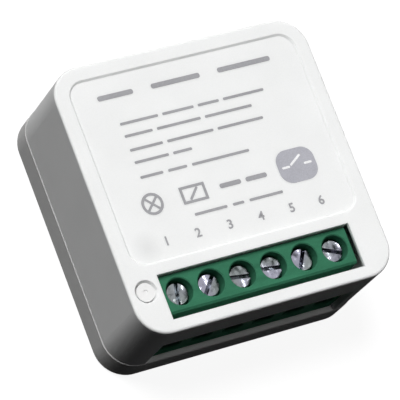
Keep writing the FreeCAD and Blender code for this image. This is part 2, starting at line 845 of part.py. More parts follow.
def make_top_cover():
    body = new_body("top_cover")
    sketch = new_sketch(body, "XY_Plane", "cover_outline", "Places.seam")
    draw_rounded(sketch, "Places.coverHalfX", "Places.coverHalfY", "Places.coverRadius")
    pad(body, sketch, "Sizes.caseHeight - Places.seam", "cover_block")
    top = number("Sizes.caseHeight")
    round_edges(body, lambda edge: level_at(edge, top), "Sizes.topRound", "top_round")

    inside = new_sketch(body, "XY_Plane", "cavity_outline", "Places.seam")
    draw_rounded(inside, "Places.cavityHalfX", "Places.cavityHalfY", "Places.cavityRadius")
    pocket(body, inside, "Places.ceiling - Places.seam", "cavity", upward=True)

    panel = new_sketch(body, "XY_Plane", "panel_outline", "Sizes.caseHeight")
    half_length = "Places.panelLength / 2"
    draw_rounded(panel, "Places.panelHalfX", half_length, "Sizes.panelRadius", "Places.panelMiddle")
    pocket(body, panel, "Sizes.panelSink", "panel")
    inner = number("Places.panelHalfX") + 1e-3
    bevel_edges(
        body,
        lambda edge: level_at(edge, top) and is_panel_edge(edge, inner),
        "Sizes.panelSlope",
        "panel_slope",
    )

    window = new_sketch(body, "XY_Plane", "window_outline", "Sizes.caseHeight")
    draw_rectangle(
        window,
        "-Places.windowHalf",
        "Places.windowFront",
        "Places.windowHalf",
        "Places.windowBack",
    )
    pocket(body, window, "Sizes.coverTop", "window")

    # Away from the button the window's end is a thin lip over a relieved wall.
    relief = new_sketch(body, "XY_Plane", "relief_outline", "Places.ceiling")
    draw_rectangle(
        relief,
        "Places.blockWidth / 2",
        "Places.windowFront",
        "Places.windowHalf + Sizes.reliefWidth",
        "Places.windowBack",
    )
    pocket(body, relief, "Sizes.coverTop - Sizes.windowLip", "window_relief", upward=True)

    notch = new_sketch(body, "XZ_Plane", "notch_outline", "Sizes.caseDepth / 2")
    draw_rectangle(
        notch,
        "-Places.notchHalf",
        "Places.seam",
        "Places.notchHalf",
        "Places.notchTop",
    )
    pocket(body, notch, "Sizes.coverWall + Sizes.coverStep", "notch")

    # The dish slopes down to the button's hole.
    hole = new_sketch(body, "XY_Plane", "button_hole_outline", "Sizes.caseHeight")
    hole_radius = "Sizes.buttonRadius + Sizes.buttonGap"
    draw_circle(hole, "Places.buttonX", "Places.buttonY", hole_radius)
    pocket(body, hole, "Sizes.caseHeight - Places.wellBottom", "button_hole")
    centre = Vector(number("Places.buttonX"), number("Places.buttonY"), top)
    base = body.Tip
    names = edges_where(body, lambda edge: level_at(edge, top) and circle_at(edge, centre))
    dish = body.newObject("PartDesign::Chamfer", "dish")
    dish.Base = (base, names)
    dish.ChamferType = "Two distances"
    dish.setExpression("Size", "Sizes.dishDepth")
    dish.setExpression("Size2", "Sizes.dishRadius - Sizes.buttonRadius - Sizes.buttonGap")
    doc.recompute()

    # Grooves that the catches of the base snap into.
    for side, sign in (("left", "-"), ("right", "")):
        for end, shift in (("front", "-"), ("back", "")):
            middle = shift + "Sizes.catchSpread"
            groove = new_sketch(body, "XZ_Plane", "groove_" + side + end, "-(%s)" % middle)
            root = sign + "(Places.cavityHalfX - Sizes.lipGap)"
            tip = sign + "(Places.lipHalfX + Sizes.catchReach + Sizes.catchGap)"
            half = "(Sizes.catchHeight / 2 + Sizes.catchGap)"
            draw_outline(groove, [
                (root, "Places.catchMiddle - " + half),
                (tip, "Places.catchMiddle - Sizes.catchGap"),
                (tip, "Places.catchMiddle + Sizes.catchGap"),
                (root, "Places.catchMiddle + " + half),
            ])
            length = "Sizes.catchLength + Sizes.catchGap * 2"
            pocket(body, groove, length, "groove_cut_" + side + end, middle=True)

    # Ribs that hold the board down on its posts.
    ribs = new_sketch(body, "XY_Plane", "rib_outlines", "Places.boardTop + Sizes.ribGap")
    rib_back = "Places.cavityHalfY + Sizes.coverWall / 2"
    for sign in ("-", ""):
        middle = sign + "Sizes.ribSpread"
        draw_rectangle(
            ribs,
            middle + " - Sizes.ribWidth / 2",
            "Places.cavityHalfY - Sizes.ribDepth",
            middle + " + Sizes.ribWidth / 2",
            rib_back,
        )
    pad(body, ribs, "Places.ceiling - Places.boardTop", "ribs")


def is_panel_edge(edge, half_x):
    box = edge.BoundBox
    inside_x = box.XMax < half_x and box.XMin > -half_x
    return inside_x and box.YMin > -number("Sizes.panelFront") - 1e-3


def circle_at(edge, centre):
    curve = edge.Curve
    is_circle = isinstance(curve, Part.Circle)
    return is_circle and (curve.Center - centre).Length < 1e-3


# Main board

def make_circuit_board():
    body = new_body("circuit_board")
    sketch = new_sketch(body, "XY_Plane", "board_outline", "Places.boardBottom")
    draw_rounded(sketch, "Places.boardHalfX", "Places.boardHalfY", "Places.boardRadius")
    pad(body, sketch, "Sizes.boardThickness", "board_block")

    holes = new_sketch(body, "XY_Plane", "hole_outlines", "Places.boardTop")
    for index in range(pole_count):
        draw_circle(holes, pole_x(index), "Places.pinY", "Places.pinHoleRadius")
    for name, sign_x, sign_y in corner_signs:
        peg_hole = "Sizes.pegRadius + Sizes.pegGap"
        draw_circle(holes, sign_x + "Places.postX", sign_y + "Places.postY", peg_hole)
    for name in lead_pairs:
        for x, y in lead_places(name):
            draw_circle(holes, x, y, "Places.leadHoleRadius")
    for index in range(radio_pin_count):
        radio_hole = "Sizes.radioPinRadius + Sizes.leadGap"
        draw_circle(holes, "Places.radioPinX", radio_pin_y(index), radio_hole)
    draw_circle(holes, "Places.hingeX", "Places.relayCentreY", "Places.relayHoleRadius")
    draw_circle(holes, "Places.fixedPinX", "Places.relayCentreY", "Places.relayHoleRadius")
    for x, y in coil_pin_places():
        draw_circle(holes, x, y, "Sizes.coilPinRadius + Sizes.leadGap")
    pocket(body, holes, "Sizes.boardThickness", "holes")


# Terminal block

def make_terminal_housing():
    body = new_body("terminal_housing")
    profile = new_sketch(body, "YZ_Plane", "housing_profile")
    draw_outline(profile, [
        ("Places.blockFront", "Places.boardTop"),
        ("Places.blockFront", "Places.shoulderTop - Sizes.shoulderSlope"),
        ("Places.blockFront + Sizes.shoulderSlope", "Places.shoulderTop"),
        ("Places.upperFront", "Places.shoulderTop"),
        ("Places.upperFront", "Places.blockTop - Sizes.blockEdge"),
        ("Places.upperFront + Sizes.blockEdge", "Places.blockTop"),
        ("Places.upperBack", "Places.blockTop"),
        ("Places.upperBack", "Places.ceiling - Sizes.backLedge"),
        ("Places.blockBack", "Places.ceiling - Sizes.backLedge"),
        ("Places.blockBack", "Places.boardTop"),
    ])
    pad(body, profile, "Places.blockWidth", "housing_block", middle=True)

    first = "Places.firstPole"
    top_hole = new_sketch(body, "XY_Plane", "screw_hole_outline", "Places.blockTop")
    draw_circle(top_hole, first, "Places.screwY", "Sizes.screwHoleRadius")
    depth = "Places.blockTop - Places.seatTop"
    features = [pocket(body, top_hole, depth, "screw_hole")]

    rim = new_sketch(body, "XY_Plane", "screw_rim_outline", "Places.blockTop")
    draw_circle(rim, first, "Places.screwY", "Sizes.screwHoleRadius + Sizes.screwHoleEdge")
    bevel = pocket(body, rim, "Sizes.screwHoleEdge", "screw_rim")
    bevel.TaperAngle = -45
    features.append(bevel)

    seat = new_sketch(body, "XY_Plane", "shank_hole_outline", "Places.seatTop")
    draw_circle(seat, first, "Places.screwY", "Sizes.shankRadius + Sizes.threadGap")
    depth = "Places.seatTop - Places.shankBottom"
    features.append(pocket(body, seat, depth, "shank_hole"))

    chamber = new_sketch(body, "XY_Plane", "chamber_outline", "Places.boardTop")
    draw_centred(chamber, first, "Places.screwY", "Places.chamberWidth", "Places.chamberLength")
    depth = "Places.chamberTop - Places.boardTop"
    features.append(pocket(body, chamber, depth, "chamber", upward=True))

    # The wire's way in: a round hole with a funnel at its mouth.
    wire = new_sketch(body, "XZ_Plane", "wire_hole_outline", "-Places.blockFront")
    draw_circle(wire, first, "Places.wireZ", "Sizes.wireRadius")
    depth = "Places.chamberFront - Places.blockFront"
    features.append(pocket(body, wire, depth, "wire_hole"))

    mouth = new_sketch(body, "XZ_Plane", "funnel_outline", "-Places.blockFront")
    draw_circle(mouth, first, "Places.wireZ", "Sizes.wireRadius + Sizes.wireFunnel")
    funnel = pocket(body, mouth, "Sizes.wireFunnel", "funnel")
    funnel.TaperAngle = -45
    features.append(funnel)

    # The contact bar slides in from the back, and its pin stands in a groove of the back face.
    slot = new_sketch(body, "XZ_Plane", "bar_slot_outline", "-Places.blockBack")
    gap = "Sizes.barSlotGap"
    draw_rectangle(
        slot,
        first + " - Sizes.barWidth / 2 - " + gap,
        "Places.barBottom - " + gap,
        first + " + Sizes.barWidth / 2 + " + gap,
        "Places.barTop + " + gap,
    )
    depth = "Places.blockBack - Places.barFront + " + gap
    features.append(pocket(body, slot, depth, "bar_slot", upward=True))

    groove = new_sketch(body, "XZ_Plane", "pin_groove_outline", "-Places.blockBack")
    draw_rectangle(
        groove,
        first + " - Sizes.pinWidth / 2 - " + gap,
        "Places.boardTop",
        first + " + Sizes.pinWidth / 2 + " + gap,
        "Places.barBottom",
    )
    features.append(pocket(body, groove, "Sizes.barThickness + " + gap, "pin_groove", upward=True))
    repeat_poles(body, features)


def make_terminal_screw(index):
    body = new_body("terminal_screw_%d" % (index + 1))
    profile = new_sketch(body, "XZ_Plane", "screw_profile_%d" % (index + 1))
    tip = "Sizes.headChamfer"
    draw_outline(profile, [
        ("0", "Places.shankBottom - Places.headTop"),
        ("Sizes.shankRadius - " + tip, "Places.shankBottom - Places.headTop"),
        ("Sizes.shankRadius", "Places.shankBottom - Places.headTop + " + tip),
        ("Sizes.shankRadius", "-Sizes.headHeight"),
        ("Sizes.headRadius", "-Sizes.headHeight"),
        ("Sizes.headRadius", "-" + tip),
        ("Sizes.headRadius - " + tip, "0"),
        ("0", "0"),
    ])
    turn(body, profile, "screw_turning_%d" % (index + 1))
    slot = new_sketch(body, "XY_Plane", "slot_outline_%d" % (index + 1))
    draw_centred(slot, "0", "0", "Sizes.headRadius * 2 + Sizes.slotWidth", "Sizes.slotWidth")
    pocket(body, slot, "Sizes.slotDepth", "slot_%d" % (index + 1))
    body.Placement = FreeCAD.Placement(Vector(0, 0, 0), FreeCAD.Rotation(up, slot_angles[index]))
    bind_all(body, {
        "Placement.Base.x": pole_x(index),
        "Placement.Base.y": "Places.screwY",
        "Placement.Base.z": "Places.headTop",
    })


def make_clamp_cage(index):
    # A square loop round the contact bar, with the screw's thread in its upper collar.
    body = new_body("clamp_cage_%d" % (index + 1))
    loop = new_sketch(body, "XZ_Plane", "loop_outline_%d" % (index + 1))
    half = "Places.cageWidth / 2"
    draw_rectangle(loop, "-" + half, "Places.cageBottom", half, "Places.cageTop")
    draw_rectangle(
        loop,
        "-Sizes.wireRadius",
        "Places.cageFloorTop",
        "Sizes.wireRadius",
        "Places.cageWindowTop",
    )
    pad(body, loop, "Sizes.cageDepth", "loop_%d" % (index + 1), middle=True)
    thread = new_sketch(body, "XY_Plane", "thread_outline_%d" % (index + 1), "Places.cageTop")
    draw_circle(thread, "0", "0", "Sizes.shankRadius + Sizes.threadGap / 2")
    pocket(body, thread, "Sizes.cageCollar", "thread_%d" % (index + 1))
    bind_all(body, {"Placement.Base.x": pole_x(index), "Placement.Base.y": "Places.screwY"})


def make_contact_bar(index):
    # An angle of flat brass: the bar above the wire, and the pin down through the board.
    body = new_body("contact_bar_%d" % (index + 1))
    bar = new_sketch(body, "XY_Plane", "bar_outline_%d" % (index + 1), "Places.barBottom")
    half = "Sizes.barWidth / 2"
    draw_rectangle(bar, "-" + half, "Places.barFront", half, "Places.blockBack")
    pad(body, bar, "Sizes.barThickness", "bar_%d" % (index + 1))
    pin = new_sketch(body, "XY_Plane", "pin_outline_%d" % (index + 1), "Places.barBottom")
    draw_centred(pin, "0", "Places.pinY", "Sizes.pinWidth", "Sizes.barThickness")
    length = "Places.barBottom - Places.pinBottom"
    pad(body, pin, length, "pin_%d" % (index + 1), down=True)
    body.setExpression("Placement.Base.x", pole_x(index))


# Push button

def make_button_cap():
    body = new_body("button_cap")
    flange = new_sketch(body, "XY_Plane", "flange_outline", "Places.flangeBottom")
    draw_rectangle(
        flange,
        "-Places.cavityHalfX + Sizes.flangeGap",
        "Places.buttonY - Sizes.flangeLength / 2",
        "Places.tactX + Sizes.tactWidth / 2 - Sizes.flangeGap",
        "Places.buttonY + Sizes.flangeLength / 2",
    )
    pad(body, flange, "Sizes.flangeThickness", "flange")
    crown = new_sketch(body, "XY_Plane", "crown_outline", "Places.flangeBottom")
    draw_circle(crown, "Places.buttonX", "Places.buttonY", "Sizes.buttonRadius")
    pad(body, crown, "Places.buttonTop - Places.flangeBottom", "crown")
    stem = new_sketch(body, "XY_Plane", "stem_outline", "Places.flangeBottom")
    draw_centred(stem, "Places.tactX", "Places.buttonY", "Sizes.stemWidth", "Sizes.stemLength")
    pad(body, stem, "Places.flangeBottom - Places.stemBottom", "stem", down=True)
    dimple = new_sketch(body, "XY_Plane", "dimple_outline", "Places.buttonTop")
    draw_circle(dimple, "Places.buttonX", "Places.buttonY", "Sizes.dimpleRadius")
    pocket(body, dimple, "Sizes.dimpleDepth", "dimple")


def make_tact_switch():
    body = new_body("tact_body")
    shell = new_sketch(body, "XY_Plane", "tact_outline", "Places.boardTop")
    draw_centred(shell, "Places.tactX", "Places.buttonY", "Sizes.tactWidth", "Sizes.tactLength")
    pad(body, shell, "Sizes.tactHeight", "tact_block")
    # The plunger's collar opens into the wider well below it.
    collar = new_sketch(body, "XY_Plane", "tact_collar_outline", "Places.tactTop")
    draw_circle(collar, "Places.tactX", "Places.buttonY", "Sizes.plungerRadius + Sizes.plungerGap")
    pocket(body, collar, "Sizes.tactWall", "tact_collar")
    well = new_sketch(body, "XY_Plane", "tact_well_outline", "Places.tactRoof")
    draw_circle(well, "Places.tactX", "Places.buttonY", "Places.tactWellRadius")
    pocket(body, well, "Places.tactRoof - Places.tactWellBottom", "tact_well")

    plunger = new_body("tact_plunger")
    disc = new_sketch(plunger, "XY_Plane", "plunger_flange_outline", "Places.plungerBottom")
    draw_circle(disc, "Places.tactX", "Places.buttonY", "Places.plungerFlangeRadius")
    pad(plunger, disc, "Sizes.plungerFlange", "plunger_flange")
    rod = new_sketch(plunger, "XY_Plane", "plunger_rod_outline", "Places.plungerBottom")
    draw_circle(rod, "Places.tactX", "Places.buttonY", "Sizes.plungerRadius")
    pad(plunger, rod, "Places.plungerTop - Places.plungerBottom", "plunger_rod")

    dome = rod_at(
        "tact_dome",
        "Places.tactX",
        "Places.buttonY",
        "Places.tactWellBottom",
        "Places.plungerFlangeRadius",
        "Sizes.domeThickness",
    )
    keep(dome)


# Relay

def make_relay():
    centre_x = "Places.relayCentreX"
    centre_y = "Places.relayCentreY"
    clearance = "Sizes.windingGap"

    shell = box_at(
        "case_block", centre_x, centre_y, "Places.boardTop",
        "Sizes.relayLength", "Sizes.relayWidth", "Places.relayHeight",
    )
    hollow = box_at(
        "case_hollow", centre_x, centre_y, "Places.boardTop",
        "Sizes.relayLength - Sizes.relayWall * 2",
        "Sizes.relayWidth - Sizes.relayWall * 2",
        "Places.relayHeight - Sizes.relayWall",
    )
    keep(cut("relay_case", shell, hollow))

    plate = box_at(
        "base_plate", centre_x, centre_y, "Places.boardTop",
        "Places.relayBaseLength", "Places.relayBaseWidth", "Sizes.relayBaseHeight",
    )
    slots = [
        box_at(
            "yoke_pin_slot", "Places.hingeX", centre_y, "Places.boardTop",
            "Sizes.yokeThickness + %s * 2" % clearance,
            "Sizes.relayPinWidth + %s * 2" % clearance,
            "Sizes.relayBaseHeight",
        ),
        box_at(
            "fixed_pin_slot", "Places.fixedPinX", centre_y, "Places.boardTop",
            "Sizes.fixedThickness + %s * 2" % clearance,
            "Sizes.relayPinWidth + %s * 2" % clearance,
            "Sizes.relayBaseHeight",
        ),
    ]
    for index, (x, y) in enumerate(coil_pin_places()):
        slots.append(rod_at(
            "coil_pin_hole_%d" % index, x, y, "Places.boardTop",
            "Sizes.coilPinRadius + " + clearance, "Sizes.relayBaseHeight",
        ))
    keep(cut("relay_base", plate, group("base_slots", slots)))

    pins = [
        rod_at(
            "coil_pin_%d" % index, x, y, "Places.leadBottom", "Sizes.coilPinRadius",
            "Places.relayFloor + Sizes.coilPinTop - Places.leadBottom",
        )
        for index, (x, y) in enumerate(coil_pin_places())
    ]
    keep(group("relay_coil_pins", pins))

    yoke = [
        box_at(
            "yoke_foot", "Places.yokeX + Sizes.yokeLength / 2", centre_y, "Places.relayFloor",
            "Sizes.yokeLength", "Sizes.yokeWidth", "Sizes.yokeThickness",
        ),
        box_at(
            "yoke_leg", "Places.hingeX", centre_y, "Places.relayFloor",
            "Sizes.yokeThickness", "Sizes.yokeWidth", "Places.yokeHeight",
        ),
        box_at(
            "yoke_pin", "Places.hingeX", centre_y, "Places.relayPinBottom",
            "Sizes.yokeThickness", "Sizes.relayPinWidth",
            "Places.relayFloor - Places.relayPinBottom",
        ),
    ]
    keep(fuse("relay_yoke", yoke))

    core = [
        rod_at(
            "core_rod", "Places.coreX", centre_y, "Places.coreBottom",
            "Sizes.coreRadius", "Places.yokeTop - Places.coreBottom",
        ),
        rod_at(
            "core_pole", "Places.coreX", centre_y, "Places.poleBottom",
            "Sizes.poleRadius", "Sizes.poleThickness",
        ),
    ]
    keep(fuse("relay_core", core))

    bobbin = [
        rod_at(
            "bobbin_tube", "Places.coreX", centre_y, "Places.coreBottom",
            "Places.bobbinTubeRadius", "Places.bobbinTop - Places.coreBottom",
        ),
        rod_at(
            "bobbin_lower", "Places.coreX", centre_y, "Places.coreBottom",
            "Sizes.bobbinRadius", "Sizes.bobbinFlange",
        ),
        rod_at(
            "bobbin_upper", "Places.coreX", centre_y, "Places.bobbinTop - Sizes.bobbinFlange",
            "Sizes.bobbinRadius", "Sizes.bobbinFlange",
        ),
    ]
    bore = rod_at(
        "bobbin_bore", "Places.coreX", centre_y, "Places.coreBottom",
        "Places.bobbinBore", "Places.bobbinTop - Places.coreBottom",
    )
    keep(cut("relay_bobbin", fuse("bobbin_block", bobbin), bore))

    wound = rod_at(
        "winding_block", "Places.coreX", centre_y, "Places.windingBottom",
        "Sizes.windingRadius", "Places.windingTop - Places.windingBottom",
    )
    wound_bore = rod_at(
        "winding_bore", "Places.coreX", centre_y, "Places.windingBottom",
        "Places.bobbinTubeRadius + " + clearance, "Places.windingTop - Places.windingBottom",
    )
    keep(cut("relay_winding", wound, wound_bore))

    # The armature and its blade are drawn level about the hinge line, then tipped open.
    armature = primitive("Box", "relay_armature", {
        "Length": "Sizes.armatureLength + Sizes.armatureTail",
        "Width": "Sizes.armatureWidth",
        "Height": "Sizes.armatureThickness",
    })
    tip_open(armature, "-Sizes.armatureTail", "-Sizes.armatureWidth / 2", "Sizes.armatureLift")
    keep(armature)

    strip = primitive("Box", "blade_strip", {
        "Length": "Places.bladeLength",
        "Width": "Sizes.bladeWidth",
        "Height": "Sizes.bladeThickness",
        "Placement.Base.x": "Sizes.bladeStart",
        "Placement.Base.y": "-Sizes.bladeWidth / 2",
        "Placement.Base.z": "Places.bladeBottom",
    })
    button = rod_at(
        "blade_contact", "Places.contactX - Places.hingeX", "0",
        "Places.bladeBottom - Sizes.contactHeight", "Sizes.contactRadius", "Sizes.contactHeight",
    )
    blade = fuse("relay_blade", [strip, button])
    tip_open(blade, "0", "0", "0")
    keep(blade)

    fixed = [
        box_at(
            "fixed_post", "Places.fixedPinX", centre_y, "Places.relayFloor",
            "Sizes.fixedThickness", "Sizes.fixedWidth", "Places.fixedArmTop - Places.relayFloor",
        ),
        box_at(
            "fixed_pin", "Places.fixedPinX", centre_y, "Places.relayPinBottom",
            "Sizes.fixedThickness", "Sizes.relayPinWidth",
            "Places.relayFloor - Places.relayPinBottom",
        ),
        box_at(
            "fixed_arm", "Places.fixedX - Sizes.fixedReach / 2", centre_y,
            "Places.fixedArmTop - Sizes.fixedThickness",
            "Sizes.fixedReach", "Sizes.fixedWidth", "Sizes.fixedThickness",
        ),
        rod_at(
            "fixed_button", "Places.contactX", centre_y, "Places.fixedArmTop",
            "Sizes.contactRadius", "Sizes.contactHeight",
        ),
    ]
    keep(fuse("relay_fixed_contact", fixed))


def tip_open(thing, x, y, z):
    # Turns a piece about the hinge line, and sets it off along its own tipped axes.
    tilt = FreeCAD.Rotation(Vector(0, -1, 0), number("Sizes.armatureRest"))
    thing.Placement = FreeCAD.Placement(Vector(0, 0, 0), tilt)
    rise = "sin(Sizes.armatureRest * 1 deg)"
    run = "cos(Sizes.armatureRest * 1 deg)"
    bind_all(thing, {
        "Placement.Rotation.Angle": "Sizes.armatureRest",
        "Placement.Base.x": "Places.hingeX + (%s) * %s - (%s) * %s" % (x, run, z, rise),
        "Placement.Base.y": "Places.relayCentreY + (%s)" % y,
        "Placement.Base.z": "Places.hingeZ + (%s) * %s + (%s) * %s" % (x, rise, z, run),
    })


# Radio module

def make_radio_module():
    board_top = "Places.boardTop"
    keep(box_at(
        "radio_board", "Places.radioX", "Places.radioY", board_top,
        "Sizes.radioThickness", "Sizes.radioLength", "Places.radioHeight",
    ))
    shield_y = "Places.radioFront + Sizes.shieldEndGap + Places.shieldLength / 2"
    shield_z = "Places.boardTop + Sizes.shieldFromFloor"
    can = box_at(
        "shield_block", "Places.radioFace - Sizes.shieldDepth / 2", shield_y, shield_z,
        "Sizes.shieldDepth", "Places.shieldLength", "Places.shieldHeight",
    )
    hollow = box_at(
        "shield_hollow",
        "Places.radioFace - (Sizes.shieldDepth - Sizes.shieldWall) / 2",
        shield_y,
        shield_z + " + Sizes.shieldWall",
        "Sizes.shieldDepth - Sizes.shieldWall",
        "Places.shieldLength - Sizes.shieldWall * 2",
        "Places.shieldHeight - Sizes.shieldWall * 2",
    )
    keep(cut("radio_shield", can, hollow))
    keep(box_at(
        "radio_chip", "Places.radioFace - Sizes.chipThickness / 2", shield_y,
        shield_z + " + (Places.shieldHeight - Sizes.chipSide) / 2",
        "Sizes.chipThickness", "Sizes.chipSide", "Sizes.chipSide",
    ))
    pins = [
        rod_at(
            "radio_pin_%d" % index, "Places.radioPinX", radio_pin_y(index),
            "Places.leadBottom", "Sizes.radioPinRadius",
            "Places.boardTop + Sizes.radioPinHeight - Places.leadBottom",
        )
        for index in range(radio_pin_count)
    ]
    keep(group("radio_pins", pins))

    # A folded copper track past the shield.
    radio_back = "Places.radioFront + Sizes.radioLength"
    track_y = radio_back + " - Sizes.shieldEndGap - Sizes.antennaWidth / 2"
    tracks = []
    for row in range(antenna_rows):
        z = shield_z + " + Places.antennaPitch * %d" % row
        tracks.append(box_at(
            "antenna_row_%d" % row, "Places.radioFace - Sizes.antennaThickness / 2", track_y, z,
            "Sizes.antennaThickness", "Sizes.antennaWidth", "Sizes.antennaTrack",
        ))
        if row < antenna_rows - 1:
            side = "+" if row % 2 else "-"
            end_y = "%s %s (Sizes.antennaWidth - Sizes.antennaTrack) / 2" % (track_y, side)
            tracks.append(box_at(
                "antenna_fold_%d" % row, "Places.radioFace - Sizes.antennaThickness / 2", end_y, z,
                "Sizes.antennaThickness", "Sizes.antennaTrack",
                "Places.antennaPitch + Sizes.antennaTrack",
            ))
    keep(fuse("radio_antenna", tracks))


# Round parts with wire leads

def lead_rods(name, top):
    return [
        rod_at(
            "%s_lead_%d" % (name, index), x, y, "Places.leadBottom", "Sizes.leadRadius",
            "%s - Places.leadBottom" % top,
        )
        for index, (x, y) in enumerate(lead_places(name))
    ]


def make_capacitor(label, name, height):
    body_rod = rod_at(
        name + "_can", "Places.%sX" % name, "Places.%sY" % name, "Places.boardTop",
        "Sizes.%sRadius" % name, height,
    )
    rounded = round_rims(name + "_rounded", body_rod, "Sizes.canRound", upper_only=True)
    keep(fuse(label, [rounded] + lead_rods(name, "Places.boardTop")))


def make_inductor():
    x = "Places.inductorX"
    y = "Places.inductorY"
    height = "Sizes.inductorHeight"
    flange = "Sizes.inductorFlange"
    core = [
        rod_at("drum_core", x, y, "Places.boardTop", "Sizes.inductorCore", height),
        rod_at("drum_lower", x, y, "Places.boardTop", "Sizes.inductorRadius", flange),
        rod_at(
            "drum_upper", x, y, "Places.boardTop + %s - %s" % (height, flange),
            "Sizes.inductorRadius", flange,
        ),
    ]
    keep(fuse("inductor_core", core + lead_rods("inductor", "Places.boardTop")))
    bottom = "Places.boardTop + " + flange
    tall = "%s - %s * 2" % (height, flange)
    wound = rod_at("drum_winding", x, y, bottom, "Sizes.inductorWound", tall)
    bore = rod_at("drum_winding_bore", x, y, bottom, "Sizes.inductorCore", tall)
    keep(cut("inductor_winding", wound, bore))


def make_fusible_resistor():
    axis_z = "Places.boardTop + Sizes.fuseRadius + Sizes.fuseLift"
    barrel = primitive("Cylinder", "fuse_barrel", {
        "Radius": "Sizes.fuseRadius",
        "Height": "Sizes.fuseLength",
    })
    wire = primitive("Cylinder", "fuse_wire", {
        "Radius": "Sizes.leadRadius",
        "Height": "Sizes.fusePitch",
    })
    lie_along = FreeCAD.Rotation(Vector(1, 0, 0), -90)
    for thing, length in ((barrel, "Sizes.fuseLength"), (wire, "Sizes.fusePitch")):
        thing.Placement = FreeCAD.Placement(Vector(0, 0, 0), lie_along)
        bind_all(thing, {
            "Placement.Base.x": "Places.fuseX",
            "Placement.Base.y": "Places.fuseY - %s / 2" % length,
            "Placement.Base.z": axis_z,
        })
    elbows = [
        primitive("Sphere", "fuse_elbow_%d" % index, {
            "Radius": "Sizes.leadRadius",
            "Placement.Base.x": x,
            "Placement.Base.y": y,
            "Placement.Base.z": axis_z,
        })
        for index, (x, y) in enumerate(lead_places("fuse"))
    ]
    keep(fuse("fusible_resistor", [barrel, wire] + elbows + lead_rods("fuse", axis_z)))


def make_varistor():
    x = "Places.varistorX"
    middle_z = "Places.boardTop + Sizes.varistorLift + Sizes.varistorRadius"
    disc = primitive("Cylinder", "varistor_disc", {
        "Radius": "Sizes.varistorRadius",
        "Height": "Sizes.varistorThickness",
    })
    disc.Placement = FreeCAD.Placement(Vector(0, 0, 0), FreeCAD.Rotation(Vector(0, 1, 0), 90))
    bind_all(disc, {
        "Placement.Base.x": x + " - Sizes.varistorThickness / 2",
        "Placement.Base.y": "Places.varistorY",
        "Placement.Base.z": middle_z,
    })
    rounded = round_rims("varistor_rounded", disc, "Sizes.varistorRound")
    keep(fuse("varistor", [rounded] + lead_rods("varistor", middle_z)))


# Flat parts with legs

def make_flat_part(label, name, legs_per_side, leg_pitch):
    # A moulded block with rows of flat legs along its two long sides.
    x = "Places.%sX" % name
    y = "Places.%sY" % name
    width = "Sizes.%sWidth" % name
    block = box_at(
        name + "_block", x, y, "Places.boardTop",
        "Sizes.%sLength" % name, width, "Sizes.%sHeight" % name,
    )
    things = [block]
    for side in ("-", "+"):
        for index in range(legs_per_side):
            step = index - (legs_per_side - 1) / 2
            leg_x = "%s + %s * %.1f" % (x, leg_pitch, step)
            leg_y = "%s %s (%s / 2 + Sizes.legLength / 2 - Sizes.legThickness)" % (y, side, width)
            things.append(box_at(
                "%s_leg_%s_%d" % (name, "front" if side == "-" else "back", index),
                leg_x, leg_y, "Places.boardTop",
                "Sizes.legWidth", "Sizes.legLength", "Sizes.legThickness",
            ))
    keep(fuse(label, things))


def make_chip_resistors():
    things = [
        box_at(
            "resistor_%d" % index, "Places.resistorX",
            "Places.resistorY - Sizes.resistorPitch * %d" % index, "Places.boardTop",
            "Sizes.resistorWidth", "Sizes.resistorLength", "Sizes.resistorHeight",
        )
        for index in range(resistor_count)
    ]
    keep(group("chip_resistors", things))


make_base_tray()
make_top_cover()
make_circuit_board()
make_terminal_housing()
for pole in range(pole_count):
    make_terminal_screw(pole)
    make_clamp_cage(pole)
    make_contact_bar(pole)
make_button_cap()
make_tact_switch()
make_relay()
make_radio_module()
make_capacitor("bulk_capacitor", "bulk", "Places.bulkHeight")
make_capacitor("output_capacitor", "output", "Sizes.outputHeight")
make_inductor()
make_fusible_resistor()
make_varistor()
make_flat_part("bridge_rectifier", "bridge", 2, "Sizes.legPitch")
make_flat_part("supply_chip", "supply", 4, "Sizes.smallLegPitch")
make_flat_part("regulator", "regulator", 2, "Sizes.legPitch")
make_flat_part("driver_transistor", "driver", 2, "Sizes.smallLegPitch")
make_flat_part("flyback_diode", "diode", 1, "Sizes.legPitch")
make_flat_part("input_coupler", "coupler", 2, "Sizes.legPitch")
make_chip_resistors()
keep(box_at(
    "status_led", "Places.ledX", "Places.ledY", "Places.boardTop",
    "Sizes.ledLength", "Sizes.ledWidth", "Sizes.ledHeight",
))
doc.recompute()

# Every object is checked before anything is written.
faults = []
for thing in doc.Objects:
    if "Invalid" in thing.State or "Error" in thing.State:
        faults.append(thing.Label + " failed")
for piece in pieces:
    if piece.Shape.isNull() or not piece.Shape.isValid() or not piece.Shape.Solids:
        faults.append(piece.Label + " has no sound solid")
if faults:
    raise RuntimeError("; ".join(faults))

for piece in pieces:
    piece.Shape.exportStep("parts/%s.step" % piece.Label)
print("wrote", len(pieces), "parts")
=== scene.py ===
import math

import bmesh
import bpy
from mathutils import Matrix, Vector


